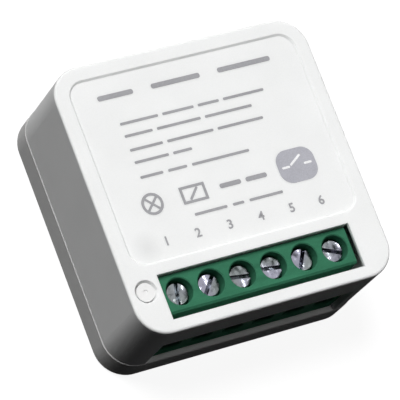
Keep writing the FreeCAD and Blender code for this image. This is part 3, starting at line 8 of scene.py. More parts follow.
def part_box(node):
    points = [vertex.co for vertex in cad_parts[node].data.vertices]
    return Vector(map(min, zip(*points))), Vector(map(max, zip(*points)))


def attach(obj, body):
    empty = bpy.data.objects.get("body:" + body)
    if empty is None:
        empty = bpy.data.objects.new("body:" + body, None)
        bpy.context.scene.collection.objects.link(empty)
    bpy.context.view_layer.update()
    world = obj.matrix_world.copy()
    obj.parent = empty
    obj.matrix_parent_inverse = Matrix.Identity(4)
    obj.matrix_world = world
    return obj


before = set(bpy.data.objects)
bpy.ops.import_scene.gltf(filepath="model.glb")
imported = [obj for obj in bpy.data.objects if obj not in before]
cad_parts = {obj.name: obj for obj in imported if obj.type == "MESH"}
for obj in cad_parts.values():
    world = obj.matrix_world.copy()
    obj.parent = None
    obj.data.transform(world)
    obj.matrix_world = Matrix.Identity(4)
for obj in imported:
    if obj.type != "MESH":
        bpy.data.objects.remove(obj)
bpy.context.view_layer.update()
print("smart switch: frame loaded,", len(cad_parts), "solids")

mm = 0.001
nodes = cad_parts
white = (1, 1, 1)

# the label panel is sunk a little below the cover's top; both in millimetres
panelDepth = 0.3
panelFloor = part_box("top_cover")[1].z / mm - panelDepth


# Helpers for the finishes

def startFinish(name, roughness, metallic=0.0, specular=0.5):
    finish = bpy.data.materials.new(name)
    finish.use_nodes = True
    tree = finish.node_tree
    shader = tree.nodes["Principled BSDF"]
    shader.inputs["Roughness"].default_value = roughness
    shader.inputs["Metallic"].default_value = metallic
    shader.inputs["Specular IOR Level"].default_value = specular
    return finish, tree, shader


def millimetres(tree, stretch=(1, 1, 1), shift=(0, 0, 0)):
    # texture space in millimetres, so that every scale below is a real size
    coordinates = tree.nodes.new("ShaderNodeTexCoord")
    mapping = tree.nodes.new("ShaderNodeMapping")
    mapping.inputs["Scale"].default_value = [s / mm for s in stretch]
    mapping.inputs["Location"].default_value = shift
    tree.links.new(coordinates.outputs["Object"], mapping.inputs["Vector"])
    return mapping.outputs["Vector"]


def ownBox(tree):
    # 0 to 1 across the piece's own box, for a finish that sits the same on each of several pieces
    return tree.nodes.new("ShaderNodeTexCoord").outputs["Generated"]


def addNoise(tree, place, perMm, detail=3.0, roughness=0.55):
    noise = tree.nodes.new("ShaderNodeTexNoise")
    noise.inputs["Scale"].default_value = perMm
    noise.inputs["Detail"].default_value = detail
    noise.inputs["Roughness"].default_value = roughness
    tree.links.new(place, noise.inputs["Vector"])
    return noise.outputs["Fac"]


def addRamp(tree, value, stops):
    ramp = tree.nodes.new("ShaderNodeValToRGB")
    colours = ramp.color_ramp
    while len(colours.elements) < len(stops):
        colours.elements.new(0.5)
    for element, (position, colour) in zip(colours.elements, stops):
        element.position = position
        element.color = (*colour, 1)
    tree.links.new(value, ramp.inputs["Fac"])
    return ramp.outputs["Color"]


def addRange(tree, value, low, high, start=0.3, end=0.7):
    # start to end becomes low to high; noise keeps mostly between 0.3 and 0.7
    spread = tree.nodes.new("ShaderNodeMapRange")
    spread.inputs["From Min"].default_value = start
    spread.inputs["From Max"].default_value = end
    spread.inputs["To Min"].default_value = low
    spread.inputs["To Max"].default_value = high
    tree.links.new(value, spread.inputs["Value"])
    return spread.outputs["Result"]


def addBump(tree, shader, value, height, strength, under=None):
    bump = tree.nodes.new("ShaderNodeBump")
    bump.inputs["Strength"].default_value = strength
    bump.inputs["Distance"].default_value = height * mm
    tree.links.new(value, bump.inputs["Height"])
    if under is not None:
        tree.links.new(under, bump.inputs["Normal"])
    tree.links.new(bump.outputs["Normal"], shader.inputs["Normal"])
    return bump.outputs["Normal"]


def roughen(tree, shader, value, roughness, spread):
    # the spread is what the roughness gains where the noise is low, and where it is high
    low, high = (roughness + gain for gain in spread)
    tree.links.new(addRange(tree, value, low, high), shader.inputs["Roughness"])


def multiplyColours(tree, first, second):
    mix = tree.nodes.new("ShaderNodeMix")
    mix.data_type = "RGBA"
    mix.blend_type = "MULTIPLY"
    mix.inputs["Factor"].default_value = 1.0
    tree.links.new(first, mix.inputs[6])     # sockets 6 and 7 and output 2 are the colour ones
    tree.links.new(second, mix.inputs[7])
    return mix.outputs[2]


def darken(tree, tone, value, tint, low=0.3, high=0.65):
    # the tone takes all of the tint where the value is low, and none where it is high
    return multiplyColours(tree, tone, addRamp(tree, value, [(low, tint), (high, white)]))


def letLightIn(shader, share, depth):
    # light seeps a little way into the plastic, which softens its edges and narrow gaps
    shader.inputs["Subsurface Weight"].default_value = share
    shader.inputs["Subsurface Radius"].default_value = (1.0, 1.0, 1.0)
    shader.inputs["Subsurface Scale"].default_value = depth * mm


def shade(colour, factor):
    return tuple(min(1.0, c * factor) for c in colour)


def shadePair(colour, factors, low=0.3, high=0.7):
    # two stops of one colour, darker and lighter
    return [(low, shade(colour, factors[0])), (high, shade(colour, factors[1]))]


def wear(node, finish):
    # the solid keeps its mesh and takes the finish in its one material slot
    mesh = nodes[node].data
    mesh.materials.clear()
    mesh.materials.append(finish)


# Case: two white mouldings and the button, all with a fine spark-eroded texture

casePlastic = {
    "coverColour": (0.880, 0.886, 0.884),
    # the base is set darker than the cover, to match its darker band below the seam
    "baseColour": (0.66, 0.66, 0.655),
    "buttonColour": (0.85, 0.85, 0.845),
    "roughness": 0.62,
    "roughnessSpread": (-0.07, 0.08),
    "gloss": 0.0004,
    "seep": 0.7,                       # share of the light that goes into the plastic
    "seepDepth": 0.45,                 # mm
    "cloudPerMm": 0.11,
    "cloudShades": (0.975, 1.012),
    "texturePerMm": 7.0,
    "textureShade": (0.965, 0.965, 0.96),
    "textureHeight": 0.006,            # mm
    "textureStrength": 0.6,
    # painted shade patch on the panel:
    "shadePatchPlace": (-15.1, -7.6),      # mm, in the panel's front left corner
    "shadePatchReach": (0.3, 2.6),         # mm from its middle, where it starts to fade and where it ends
    "shadePatchTint": (0.90, 0.90, 0.90),
}


def smudgePanel(tree, tone, place):
    # painted shade: a faint grey patch on the panel
    away = tree.nodes.new("ShaderNodeVectorMath")
    away.operation = "DISTANCE"
    away.inputs[1].default_value = (*casePlastic["shadePatchPlace"], panelFloor)
    tree.links.new(place, away.inputs[0])
    reach = addRange(tree, away.outputs["Value"], 0, 1, *casePlastic["shadePatchReach"])
    return darken(tree, tone, reach, casePlastic["shadePatchTint"], low=0, high=1)


def mouldedCase(name, colour, shadePatched=False):
    look = casePlastic
    finish, tree, shader = startFinish(name, look["roughness"], 0, look["gloss"])
    letLightIn(shader, look["seep"], look["seepDepth"])
    place = millimetres(tree)
    cloud = addNoise(tree, place, look["cloudPerMm"], detail=2)
    texture = addNoise(tree, place, look["texturePerMm"], detail=4)
    tone = addRamp(tree, cloud, shadePair(colour, look["cloudShades"]))
    tone = darken(tree, tone, texture, look["textureShade"], low=0.25, high=0.6)
    # painted shade: a faint grey patch in the panel's front left corner
    if shadePatched:
        tone = smudgePanel(tree, tone, place)
    tree.links.new(tone, shader.inputs["Base Color"])
    roughen(tree, shader, texture, look["roughness"], look["roughnessSpread"])
    addBump(tree, shader, texture, look["textureHeight"], look["textureStrength"])
    return finish


wear("top_cover", mouldedCase("coverPlastic", casePlastic["coverColour"], shadePatched=True))
wear("base_tray", mouldedCase("basePlastic", casePlastic["baseColour"]))
wear("button_cap", mouldedCase("buttonPlastic", casePlastic["buttonColour"]))
print("smart switch: case mouldings finished")


# Terminal block: green glass-filled nylon, matt, with flow marks and fibre flecks

blockNylon = {
    "colour": (0.043, 0.178, 0.102),
    "roughness": 0.40,
    "roughnessSpread": (-0.10, 0.12),
    "gloss": 0.0005,
    "flowStretch": (0.25, 1, 1),       # flow marks run along the block
    "flowPerMm": 0.9,
    "flowShades": (0.86, 1.12),
    "fleckPerMm": 9.0,
    "fleckShade": (0.84, 0.86, 0.85),
    "textureHeight": 0.008,            # mm
    "textureStrength": 0.7,
}


def blockFinish():
    look = blockNylon
    finish, tree, shader = startFinish("blockNylon", look["roughness"], 0, look["gloss"])
    flow = addNoise(tree, millimetres(tree, look["flowStretch"]), look["flowPerMm"])
    fleck = addNoise(tree, millimetres(tree), look["fleckPerMm"], detail=5)
    tone = addRamp(tree, flow, shadePair(look["colour"], look["flowShades"]))
    tone = darken(tree, tone, fleck, look["fleckShade"], high=0.62)
    tree.links.new(tone, shader.inputs["Base Color"])
    roughen(tree, shader, fleck, look["roughness"], look["roughnessSpread"])
    addBump(tree, shader, fleck, look["textureHeight"], look["textureStrength"])
    return finish


wear("terminal_housing", blockFinish())
print("smart switch: terminal block finished")


# Clamp screws: turned, zinc plated, with fine rings round each screw's own middle

screwPlate = {
    "colour": (0.245, 0.268, 0.272),
    "tintColour": (0.325, 0.322, 0.395),
    "tintPerMm": 0.16,
    "roughness": 0.26,
    "roughnessSpread": (0.04, -0.12),  # rougher where scuffed, smoother elsewhere
    "scuffPerMm": 1.5,
    "scuffShade": (0.62, 0.62, 0.62),
    # painted shade in the slot
    "slotShadeColour": (0.26, 0.27, 0.30),
    "slotShare": (0.86, 0.975),        # of the screw's height, where its slot lies
    "turnedGloss": 0.5,
    "ringScale": 9.0,                  # about 14 rings from the middle to the rim
    "ringWobble": 0.6,
    "ringHeight": 0.006,               # mm
    "dentPerMm": 0.55,
    "dentHeight": 1.2,                 # mm
    "dentShift": (-6.2, 5.1, 0.9),     # mm
    "bumpStrength": 0.5,
}


def latheRings(tree, own):
    # rings round the middle of each screw's box
    centre = tree.nodes.new("ShaderNodeVectorMath")
    centre.operation = "SUBTRACT"
    centre.inputs[1].default_value = (0.5, 0.5, 0)
    tree.links.new(own, centre.inputs[0])
    rings = tree.nodes.new("ShaderNodeTexWave")
    rings.wave_type = "RINGS"
    rings.rings_direction = "Z"
    rings.inputs["Scale"].default_value = screwPlate["ringScale"]
    rings.inputs["Distortion"].default_value = screwPlate["ringWobble"]
    rings.inputs["Detail"].default_value = 2
    tree.links.new(centre.outputs["Vector"], rings.inputs["Vector"])
    return rings.outputs["Fac"]


def greaseSlot(tree, tone, own):
    # painted shade: the slot's floor and walls are darkened, most at the bottom, and all below them too
    parts = tree.nodes.new("ShaderNodeSeparateXYZ")
    tree.links.new(own, parts.inputs["Vector"])
    depth = addRange(tree, parts.outputs["Z"], 0, 1, *screwPlate["slotShare"])
    return darken(tree, tone, depth, screwPlate["slotShadeColour"], low=0, high=0.9)


def turnedScrew():
    look = screwPlate
    finish, tree, shader = startFinish("screwZinc", look["roughness"], 1.0)
    # lathe marks spread the shine into sectors, as on any turned head
    shader.inputs["Anisotropic"].default_value = look["turnedGloss"]
    lathe = tree.nodes.new("ShaderNodeTangent")
    lathe.direction_type = "RADIAL"
    lathe.axis = "Z"
    tree.links.new(lathe.outputs["Tangent"], shader.inputs["Tangent"])
    own = ownBox(tree)
    place = millimetres(tree)
    scuffs = addNoise(tree, place, look["scuffPerMm"], detail=3, roughness=0.5)
    dents = addNoise(tree, millimetres(tree, shift=look["dentShift"]), look["dentPerMm"], detail=1)
    # the passivated zinc shifts from grey to lilac from one head to the next
    film = addNoise(tree, place, look["tintPerMm"], detail=1)
    tone = addRamp(tree, film, [(0.42, look["colour"]), (0.58, look["tintColour"])])
    tone = darken(tree, tone, scuffs, look["scuffShade"], low=0.34, high=0.5)
    # the base colour with painted shade in the slot
    tree.links.new(greaseSlot(tree, tone, own), shader.inputs["Base Color"])
    roughen(tree, shader, scuffs, look["roughness"], look["roughnessSpread"])
    ringed = addBump(tree, shader, latheRings(tree, own), look["ringHeight"], look["bumpStrength"])
    addBump(tree, shader, dents, look["dentHeight"], look["bumpStrength"], under=ringed)
    return finish


screwFinish = turnedScrew()
for number in range(1, 7):
    wear("terminal_screw_%d" % number, screwFinish)
print("smart switch: clamp screws finished")


# Sheet metal and pins: rolled grain along one way, dull or bright plate

sheetMetals = {
    "cageSteel": {"colour": (0.56, 0.56, 0.57), "roughness": 0.36, "grain": (1, 1, 0.12),
                  "nodes": ["clamp_cage_%d" % n for n in range(1, 7)]},
    "contactBrass": {"colour": (0.72, 0.60, 0.36), "roughness": 0.30, "grain": (1, 0.12, 1),
                     "nodes": ["contact_bar_%d" % n for n in range(1, 7)]},
    "relayIron": {"colour": (0.46, 0.46, 0.46), "roughness": 0.42, "grain": (0.12, 1, 1),
                  "nodes": ["relay_yoke", "relay_core", "relay_armature"]},
    "contactCopper": {"colour": (0.86, 0.46, 0.30), "roughness": 0.28, "grain": (0.12, 1, 1),
                      "nodes": ["relay_blade", "relay_fixed_contact"]},
    "tinnedPin": {"colour": (0.70, 0.70, 0.68), "roughness": 0.33, "grain": (1, 1, 0.15),
                  "nodes": ["relay_coil_pins", "radio_pins"]},
    "domeSteel": {"colour": (0.66, 0.66, 0.66), "roughness": 0.22, "grain": (0.15, 1, 1),
                  "nodes": ["tact_dome"]},
    "shieldSteel": {"colour": (0.62, 0.62, 0.60), "roughness": 0.34, "grain": (1, 0.1, 1),
                    "nodes": ["radio_shield"]},
    "antennaGold": {"colour": (0.93, 0.68, 0.30), "roughness": 0.27, "grain": (1, 0.2, 1),
                    "nodes": ["radio_antenna"]},
}
rolling = {
    "streakPerMm": 14.0,
    "streakShade": (0.86, 0.86, 0.86),
    "streakHeight": 0.004,             # mm
    "streakStrength": 0.6,
    "roughnessSpread": (-0.08, 0.12),
    "patinaPerMm": 0.9,
    "patinaShades": (0.78, 1.06),
}


def rolledMetal(name, look):
    finish, tree, shader = startFinish(name, look["roughness"], 1.0)
    streaks = addNoise(tree, millimetres(tree, look["grain"]), rolling["streakPerMm"], detail=4)
    patina = addNoise(tree, millimetres(tree), rolling["patinaPerMm"], detail=4, roughness=0.65)
    tone = addRamp(tree, patina, shadePair(look["colour"], rolling["patinaShades"], 0.32, 0.66))
    tone = darken(tree, tone, streaks, rolling["streakShade"], high=0.62)
    tree.links.new(tone, shader.inputs["Base Color"])
    roughen(tree, shader, streaks, look["roughness"], rolling["roughnessSpread"])
    addBump(tree, shader, streaks, rolling["streakHeight"], rolling["streakStrength"])
    return finish


for name, look in sheetMetals.items():
    metal = rolledMetal(name, look)
    for node in look["nodes"]:
        wear(node, metal)
print("smart switch: sheet metal finished")


# Small moulded parts: one look each, all with a moulded grain

smallParts = {
    "relayCasePlastic": {"colour": (0.028, 0.034, 0.045), "roughness": 0.45, "grainPerMm": 6,
                         "nodes": ["relay_case"]},
    "relayBasePlastic": {"colour": (0.022, 0.022, 0.024), "roughness": 0.52, "grainPerMm": 6,
                         "nodes": ["relay_base"]},
    "bobbinPlastic": {"colour": (0.74, 0.73, 0.68), "roughness": 0.5, "grainPerMm": 5,
                      "nodes": ["relay_bobbin"]},
    "tactPlastic": {"colour": (0.024, 0.024, 0.026), "roughness": 0.48, "grainPerMm": 8,
                    "nodes": ["tact_body"]},
    "plungerPlastic": {"colour": (0.80, 0.80, 0.77), "roughness": 0.44, "grainPerMm": 8,
                       "nodes": ["tact_plunger"]},
    "chipEpoxy": {"colour": (0.020, 0.020, 0.021), "roughness": 0.6, "grainPerMm": 12,
                  "nodes": ["radio_chip", "bridge_rectifier", "supply_chip", "regulator",
                            "driver_transistor", "flyback_diode"]},
    "couplerEpoxy": {"colour": (0.78, 0.78, 0.75), "roughness": 0.55, "grainPerMm": 10,
                     "nodes": ["input_coupler"]},
    "resistorCeramic": {"colour": (0.030, 0.028, 0.026), "roughness": 0.34, "grainPerMm": 14,
                        "nodes": ["chip_resistors"]},
    "ferriteCore": {"colour": (0.055, 0.052, 0.050), "roughness": 0.7, "grainPerMm": 9,
                    "nodes": ["inductor_core"]},
    "fuseCoating": {"colour": (0.10, 0.30, 0.17), "roughness": 0.3, "grainPerMm": 3,
                    "nodes": ["fusible_resistor"]},
    "varistorCoating": {"colour": (0.045, 0.16, 0.42), "roughness": 0.38, "grainPerMm": 2.5,
                        "nodes": ["varistor"]},
}
smallMoulding = {
    "gloss": 0.4,
    "cloudPerMm": 0.35,
    "cloudShades": (0.85, 1.15),
    "grainShade": (0.8, 0.8, 0.8),
    "grainHeight": 0.012,              # mm
    "grainStrength": 0.6,
    "roughnessSpread": (-0.1, 0.1),
}


def mouldedSmall(name, look):
    finish, tree, shader = startFinish(name, look["roughness"], 0, smallMoulding["gloss"])
    place = millimetres(tree)
    grain = addNoise(tree, place, look["grainPerMm"], detail=5, roughness=0.6)
    cloud = addNoise(tree, place, smallMoulding["cloudPerMm"], detail=2)
    tone = addRamp(tree, cloud, shadePair(look["colour"], smallMoulding["cloudShades"]))
    tone = darken(tree, tone, grain, smallMoulding["grainShade"])
    tree.links.new(tone, shader.inputs["Base Color"])
    roughen(tree, shader, grain, look["roughness"], smallMoulding["roughnessSpread"])
    addBump(tree, shader, grain, smallMoulding["grainHeight"], smallMoulding["grainStrength"])
    return finish


for name, look in smallParts.items():
    plastic = mouldedSmall(name, look)
    for node in look["nodes"]:
        wear(node, plastic)
print("smart switch: small moulded parts finished")


# Boards: solder mask with copper runs under it

boards = {
    "mainBoardMask": {"mask": (0.020, 0.150, 0.060), "copper": (0.055, 0.270, 0.105),
                      "stretch": (1, 1, 1), "nodes": ["circuit_board"]},
    "radioBoardMask": {"mask": (0.012, 0.045, 0.150), "copper": (0.025, 0.090, 0.240),
                       "stretch": (0, 1, 1), "nodes": ["radio_board"]},
}
boardWork = {
    "runScale": 0.45,
    "runWidth": 0.075,
    "runEdge": 0.25,
    "runHeight": 0.03,                 # mm
    "runStrength": 0.7,
    "padTone": (0.12, 0.12, 0.12),
    "weavePerMm": 6.0,
    "weaveShade": (0.86, 0.88, 0.86),
    "weaveHeight": 0.006,              # mm
    "weaveStrength": 0.5,
    "roughness": 0.3,
    "roughnessSpread": (-0.08, 0.08),
}


def copperRuns(tree, place):
    # the joints of a brick pattern are the runs
    runs = tree.nodes.new("ShaderNodeTexBrick")
    runs.inputs["Scale"].default_value = boardWork["runScale"]
    runs.inputs["Mortar Size"].default_value = boardWork["runWidth"]
    runs.inputs["Mortar Smooth"].default_value = boardWork["runEdge"]
    runs.inputs["Color1"].default_value = (0, 0, 0, 1)
    runs.inputs["Color2"].default_value = (*boardWork["padTone"], 1)
    runs.inputs["Mortar"].default_value = (*white, 1)
    tree.links.new(place, runs.inputs["Vector"])
    return runs.outputs["Color"]


def boardMask(name, look):
    finish, tree, shader = startFinish(name, boardWork["roughness"])
    place = millimetres(tree, look["stretch"])
    runs = copperRuns(tree, place)
    weave = addNoise(tree, place, boardWork["weavePerMm"])
    tone = addRamp(tree, runs, [(0.1, look["mask"]), (0.8, look["copper"])])
    tone = darken(tree, tone, weave, boardWork["weaveShade"])
    tree.links.new(tone, shader.inputs["Base Color"])
    roughen(tree, shader, weave, boardWork["roughness"], boardWork["roughnessSpread"])
    raised = addBump(tree, shader, runs, boardWork["runHeight"], boardWork["runStrength"])
    addBump(tree, shader, weave, boardWork["weaveHeight"], boardWork["weaveStrength"], under=raised)
    return finish


for name, look in boards.items():
    mask = boardMask(name, look)
    for node in look["nodes"]:
        wear(node, mask)
print("smart switch: boards finished")


# Windings: enamelled copper wire, turn on turn

windingWire = {
    "colour": (0.72, 0.28, 0.10),
    # painted shade between the turns, and a little painted light on their crests
    "turnShadeAndLight": (0.45, 1.1),
    "turnsPerMm": 4.2,
    "turnHeight": 0.08,                # mm
    "turnStrength": 0.9,
    "wobble": 0.35,
    "varnishPerMm": 0.8,
    "varnishShade": (0.8, 0.76, 0.72),
    "metallic": 0.85,
    "roughness": 0.3,
}
wavesPerUnit = 3.2                     # what the wave texture draws at a scale of 1


def enamelledWire():
    look = windingWire
    finish, tree, shader = startFinish("enamelledWire", look["roughness"], look["metallic"])
    place = millimetres(tree)
    turns = tree.nodes.new("ShaderNodeTexWave")
    turns.bands_direction = "Z"
    turns.inputs["Scale"].default_value = look["turnsPerMm"] / wavesPerUnit
    turns.inputs["Distortion"].default_value = look["wobble"]
    turns.inputs["Detail"].default_value = 1
    tree.links.new(place, turns.inputs["Vector"])
    varnish = addNoise(tree, place, look["varnishPerMm"])
    # painted shade between the turns
    tone = addRamp(tree, turns.outputs["Fac"], shadePair(look["colour"], look["turnShadeAndLight"], 0.1, 0.5))
    tone = darken(tree, tone, varnish, look["varnishShade"], high=0.7)
    tree.links.new(tone, shader.inputs["Base Color"])
    addBump(tree, shader, turns.outputs["Fac"], look["turnHeight"], look["turnStrength"])
    return finish


wire = enamelledWire()
for node in ("relay_winding", "inductor_winding"):
    wear(node, wire)


# Capacitors: a shrunk sleeve with a pale band down one side

capacitorSleeve = {
    "film": (0.030, 0.036, 0.085),
    "band": (0.52, 0.54, 0.60),
    "bandShare": (0.10, 0.115),        # of the can's width, where the band ends and the film starts
    "creaseStretch": (1, 1, 0.4),
    "creasePerMm": 1.6,
    "creaseShade": (0.82, 0.82, 0.84),
    "creaseHeight": 0.05,              # mm
    "creaseStrength": 0.4,
    "gloss": 0.45,
    "roughness": 0.34,
    "roughnessSpread": (-0.08, 0.10),
}


def sleeveFilm():
    look = capacitorSleeve
    finish, tree, shader = startFinish("capacitorSleeve", look["roughness"], 0, look["gloss"])
    parts = tree.nodes.new("ShaderNodeSeparateXYZ")
    tree.links.new(ownBox(tree), parts.inputs["Vector"])
    bandEnd, filmStart = look["bandShare"]
    stops = [(0.0, look["band"]), (bandEnd, look["band"]), (filmStart, look["film"])]
    creases = addNoise(tree, millimetres(tree, look["creaseStretch"]), look["creasePerMm"], detail=4)
    tone = darken(tree, addRamp(tree, parts.outputs["X"], stops), creases, look["creaseShade"])
    tree.links.new(tone, shader.inputs["Base Color"])
    roughen(tree, shader, creases, look["roughness"], look["roughnessSpread"])
    addBump(tree, shader, creases, look["creaseHeight"], look["creaseStrength"])
    return finish


film = sleeveFilm()
for node in ("bulk_capacitor", "output_capacitor"):
    wear(node, film)


# Indicator: a small clouded lens

indicatorLens = {
    "colour": (0.82, 0.84, 0.80),
    "cloudPerMm": 5.0,
    "cloudShades": (0.85, 1.0),
    "cloudHeight": 0.01,               # mm
    "cloudStrength": 0.3,
    "seep": 0.2,
    "seepDepth": 0.03,                 # mm
    "coat": 0.5,
    "roughness": 0.18,
}


def cloudedLens():
    look = indicatorLens
    finish, tree, shader = startFinish("indicatorLens", look["roughness"])
    letLightIn(shader, look["seep"], look["seepDepth"])
    shader.inputs["Coat Weight"].default_value = look["coat"]
    cloud = addNoise(tree, millimetres(tree), look["cloudPerMm"])
    tone = addRamp(tree, cloud, shadePair(look["colour"], look["cloudShades"]))
    tree.links.new(tone, shader.inputs["Base Color"])
    addBump(tree, shader, cloud, look["cloudHeight"], look["cloudStrength"])
    return finish


wear("status_led", cloudedLens())
print("smart switch: windings, sleeves and indicator finished")


# Printed marks on the sunk panel: plain bars in place of words, wiring signs in
# place of symbols, and the terminals' numbers. All lengths in millimetres.

panelPrint = {
    "thickness": 0.02,
    "ink": (0.335, 0.335, 0.350),
    "badgeInk": (0.400, 0.400, 0.440),
    "signInk": (0.84, 0.84, 0.85),
    # a row is its place up the panel, its left end, its bars' lengths and the gap between them
    "title": {"height": 0.75, "rows": [(14.95, -14.2, [5.6, 7.8, 8.6], 2.9)]},
    "words": {"height": 0.40, "rows": [
        (10.6, -12.3, [6.0, 5.0, 3.4, 6.6], 0.7),
        (8.7, -12.3, [4.4, 7.0, 7.6], 0.7),
        (6.55, -12.3, [5.2, 7.4, 7.4], 0.7),
        (4.65, -12.3, [5.4, 3.0], 0.7),
        (2.35, -12.3, [3.6, 3.0, 9.2], 0.8),
        (-4.8, -6.5, [5.2, 1.8, 5.4], 0.9)]},
    "boldWord": {"height": 0.70, "rows": [(-1.75, -1.3, [3.4, 3.4], 0.8)]},
    "barRounding": 0.85,               # of half a bar's height
    "lineWidth": 0.4,
    "lamp": {"middle": (-12.0, -1.75), "radius": 1.45, "crossReach": 1.24, "crossWidth": 0.34},
    "coil": {"edges": (-7.45, -3.45, -3.05, -0.45),
             "stroke": ((-6.1, -2.45), (-4.8, -1.05)), "strokeWidth": 0.36},
    "badge": {"edges": (8.3, 14.4, -4.05, 1.0), "corner": 1.9},
    "contact": {"strokes": [((9.1, -1.55), (10.05, -1.55)), ((12.65, -1.55), (13.6, -1.55)),
                            ((10.5, -1.3), (12.2, -0.2))], "width": 0.34},
}
inkLook = {
    "gloss": 0.2,
    "roughness": 0.55,
    "coverPerMm": 8.0,
    "thinShade": 1.22,
    "fadePerMm": 0.25,
    "fadeShade": (0.9, 0.9, 0.9),
    "height": 0.004,                   # mm
    "strength": 0.5,
}


def inkLevels(layer=0):
    # low and high level of a mark in metres; layer 1 lies on another mark
    low = (panelFloor + layer * panelPrint["thickness"]) * mm
    return low, low + panelPrint["thickness"] * mm


def addPrism(mesh, outline, layer=0):
    # flat shape of one outline, an ink's thickness high
    low, high = inkLevels(layer)
    bottom = [mesh.verts.new((x * mm, y * mm, low)) for x, y in outline]
    top = [mesh.verts.new((x * mm, y * mm, high)) for x, y in outline]
    count = len(outline)
    mesh.faces.new(top)
    mesh.faces.new(list(reversed(bottom)))
    for i in range(count):
        j = (i + 1) % count
        mesh.faces.new((bottom[i], bottom[j], top[j], top[i]))


def roundedBar(left, right, low, high, radius, steps=6):
    points = []
    corners = [(right - radius, low + radius, -90), (right - radius, high - radius, 0),
               (left + radius, high - radius, 90), (left + radius, low + radius, 180)]
    for cx, cy, start in corners:
        for step in range(steps + 1):
            angle = math.radians(start + 90 * step / steps)
            points.append((cx + radius * math.cos(angle), cy + radius * math.sin(angle)))
    return points


def strokeBar(start, end, width, steps=8):
    # straight line of ink with round ends
    (ax, ay), (bx, by) = start, end
    angle = math.atan2(by - ay, bx - ax)
    points = []
    for (cx, cy), turn in (((bx, by), -90), ((ax, ay), 90)):
        for step in range(steps + 1):
            a = angle + math.radians(turn + 180 * step / steps)
            points.append((cx + width / 2 * math.cos(a), cy + width / 2 * math.sin(a)))
    return points


def crossOutline(cx, cy, reach, width):
    # saltire of two bars at 45 degrees, as one outline
    half = width / 2
    points = []
    for quarter in range(4):
        a = math.radians(45 - 90 * quarter)
        for x, y in ((half, half), (reach, half), (reach, -half)):
            points.append((cx + x * math.cos(a) - y * math.sin(a), cy + x * math.sin(a) + y * math.cos(a)))
    return points


def addRing(mesh, cx, cy, radius, width, sides=48):
    low, high = inkLevels()
    inner = radius - width / 2
    outer = radius + width / 2
    loops = []
    for r, z in ((inner, low), (outer, low), (outer, high), (inner, high)):
        loop = []
        for i in range(sides):
            a = math.radians(360 * i / sides)
            loop.append(mesh.verts.new(((cx + r * math.cos(a)) * mm, (cy + r * math.sin(a)) * mm, z)))
        loops.append(loop)
    for i in range(sides):
        j = (i + 1) % sides
        for k in range(4):
            a, b = loops[k], loops[(k + 1) % 4]
            mesh.faces.new((a[i], a[j], b[j], b[i]))


def addFrame(mesh, left, right, low, high, width, short=0.004):
    # four bars end to end, mitred at the corners, each cut short so that no two touch
    inner = [(left + width, low + width), (right - width, low + width),
             (right - width, high - width), (left + width, high - width)]
    outer = [(left, low), (right, low), (right, high), (left, high)]
    for i in range(4):
        j = (i + 1) % 4
        dx = short * ((outer[j][0] > outer[i][0]) - (outer[j][0] < outer[i][0]))
        dy = short * ((outer[j][1] > outer[i][1]) - (outer[j][1] < outer[i][1]))
        addPrism(mesh, [(outer[i][0] + dx, outer[i][1] + dy), (outer[j][0] - dx, outer[j][1] - dy),
                        (inner[j][0] - dx, inner[j][1] - dy), (inner[i][0] + dx, inner[i][1] + dy)])


def printFinish(name, ink):
    finish, tree, shader = startFinish(name, inkLook["roughness"], 0, inkLook["gloss"])
    place = millimetres(tree)
    cover = addNoise(tree, place, inkLook["coverPerMm"], detail=4)
    fade = addNoise(tree, place, inkLook["fadePerMm"], detail=2)
    tone = addRamp(tree, cover, [(0.3, shade(ink, inkLook["thinShade"])), (0.6, ink)])
    worn = addRamp(tree, fade, [(0.3, white), (0.7, inkLook["fadeShade"])])
    tree.links.new(multiplyColours(tree, tone, worn), shader.inputs["Base Color"])
    addBump(tree, shader, cover, inkLook["height"], inkLook["strength"])
    return finish


def placeMark(name, data, finish):
    # every mark moves with the case
    data.materials.clear()
    data.materials.append(finish)
    piece = bpy.data.objects.new(name, data)
    bpy.context.scene.collection.objects.link(piece)
    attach(piece, "case")


def finishPrint(name, mesh, finish):
    bmesh.ops.recalc_face_normals(mesh, faces=mesh.faces)
    data = bpy.data.meshes.new(name)
    mesh.to_mesh(data)
    mesh.free()
    placeMark(name, data, finish)


def wordRows(name, look, finish):
    mesh = bmesh.new()
    half = look["height"] / 2
    rounding = half * panelPrint["barRounding"]
    for y, left, words, gap in look["rows"]:
        x = left
        for length in words:
            addPrism(mesh, roundedBar(x, x + length, y - half, y + half, rounding))
            x += length + gap
    finishPrint(name, mesh, finish)


def lampSign(finish):
    look = panelPrint["lamp"]
    mesh = bmesh.new()
    addRing(mesh, *look["middle"], look["radius"], panelPrint["lineWidth"])
    addPrism(mesh, crossOutline(*look["middle"], look["crossReach"], look["crossWidth"]))
    finishPrint("lamp_sign", mesh, finish)


def coilSign(finish):
    look = panelPrint["coil"]
    mesh = bmesh.new()
    addFrame(mesh, *look["edges"], panelPrint["lineWidth"])
    addPrism(mesh, strokeBar(*look["stroke"], look["strokeWidth"]))
    finishPrint("coil_sign", mesh, finish)


def badgePlate(finish):
    look = panelPrint["badge"]
    mesh = bmesh.new()
    addPrism(mesh, roundedBar(*look["edges"], look["corner"], steps=10))
    finishPrint("badge_plate", mesh, finish)


def contactSign(finish):
    # open contact in white on the badge
    look = panelPrint["contact"]
    mesh = bmesh.new()
    for start, end in look["strokes"]:
        addPrism(mesh, strokeBar(start, end, look["width"]), layer=1)
    finishPrint("contact_sign", mesh, finish)


inkFinish = printFinish("panelInk", panelPrint["ink"])
badgeFinish = printFinish("badgeInk", panelPrint["badgeInk"])
wordRows("title_bars", panelPrint["title"], inkFinish)
wordRows("word_bars", panelPrint["words"], inkFinish)
wordRows("bold_bars", panelPrint["boldWord"], inkFinish)
lampSign(inkFinish)
coilSign(inkFinish)
badgePlate(badgeFinish)
contactSign(printFinish("signInk", panelPrint["signInk"]))
print("smart switch: printed marks made")


# Numbers 1 to 6 by the terminals, in millimetres

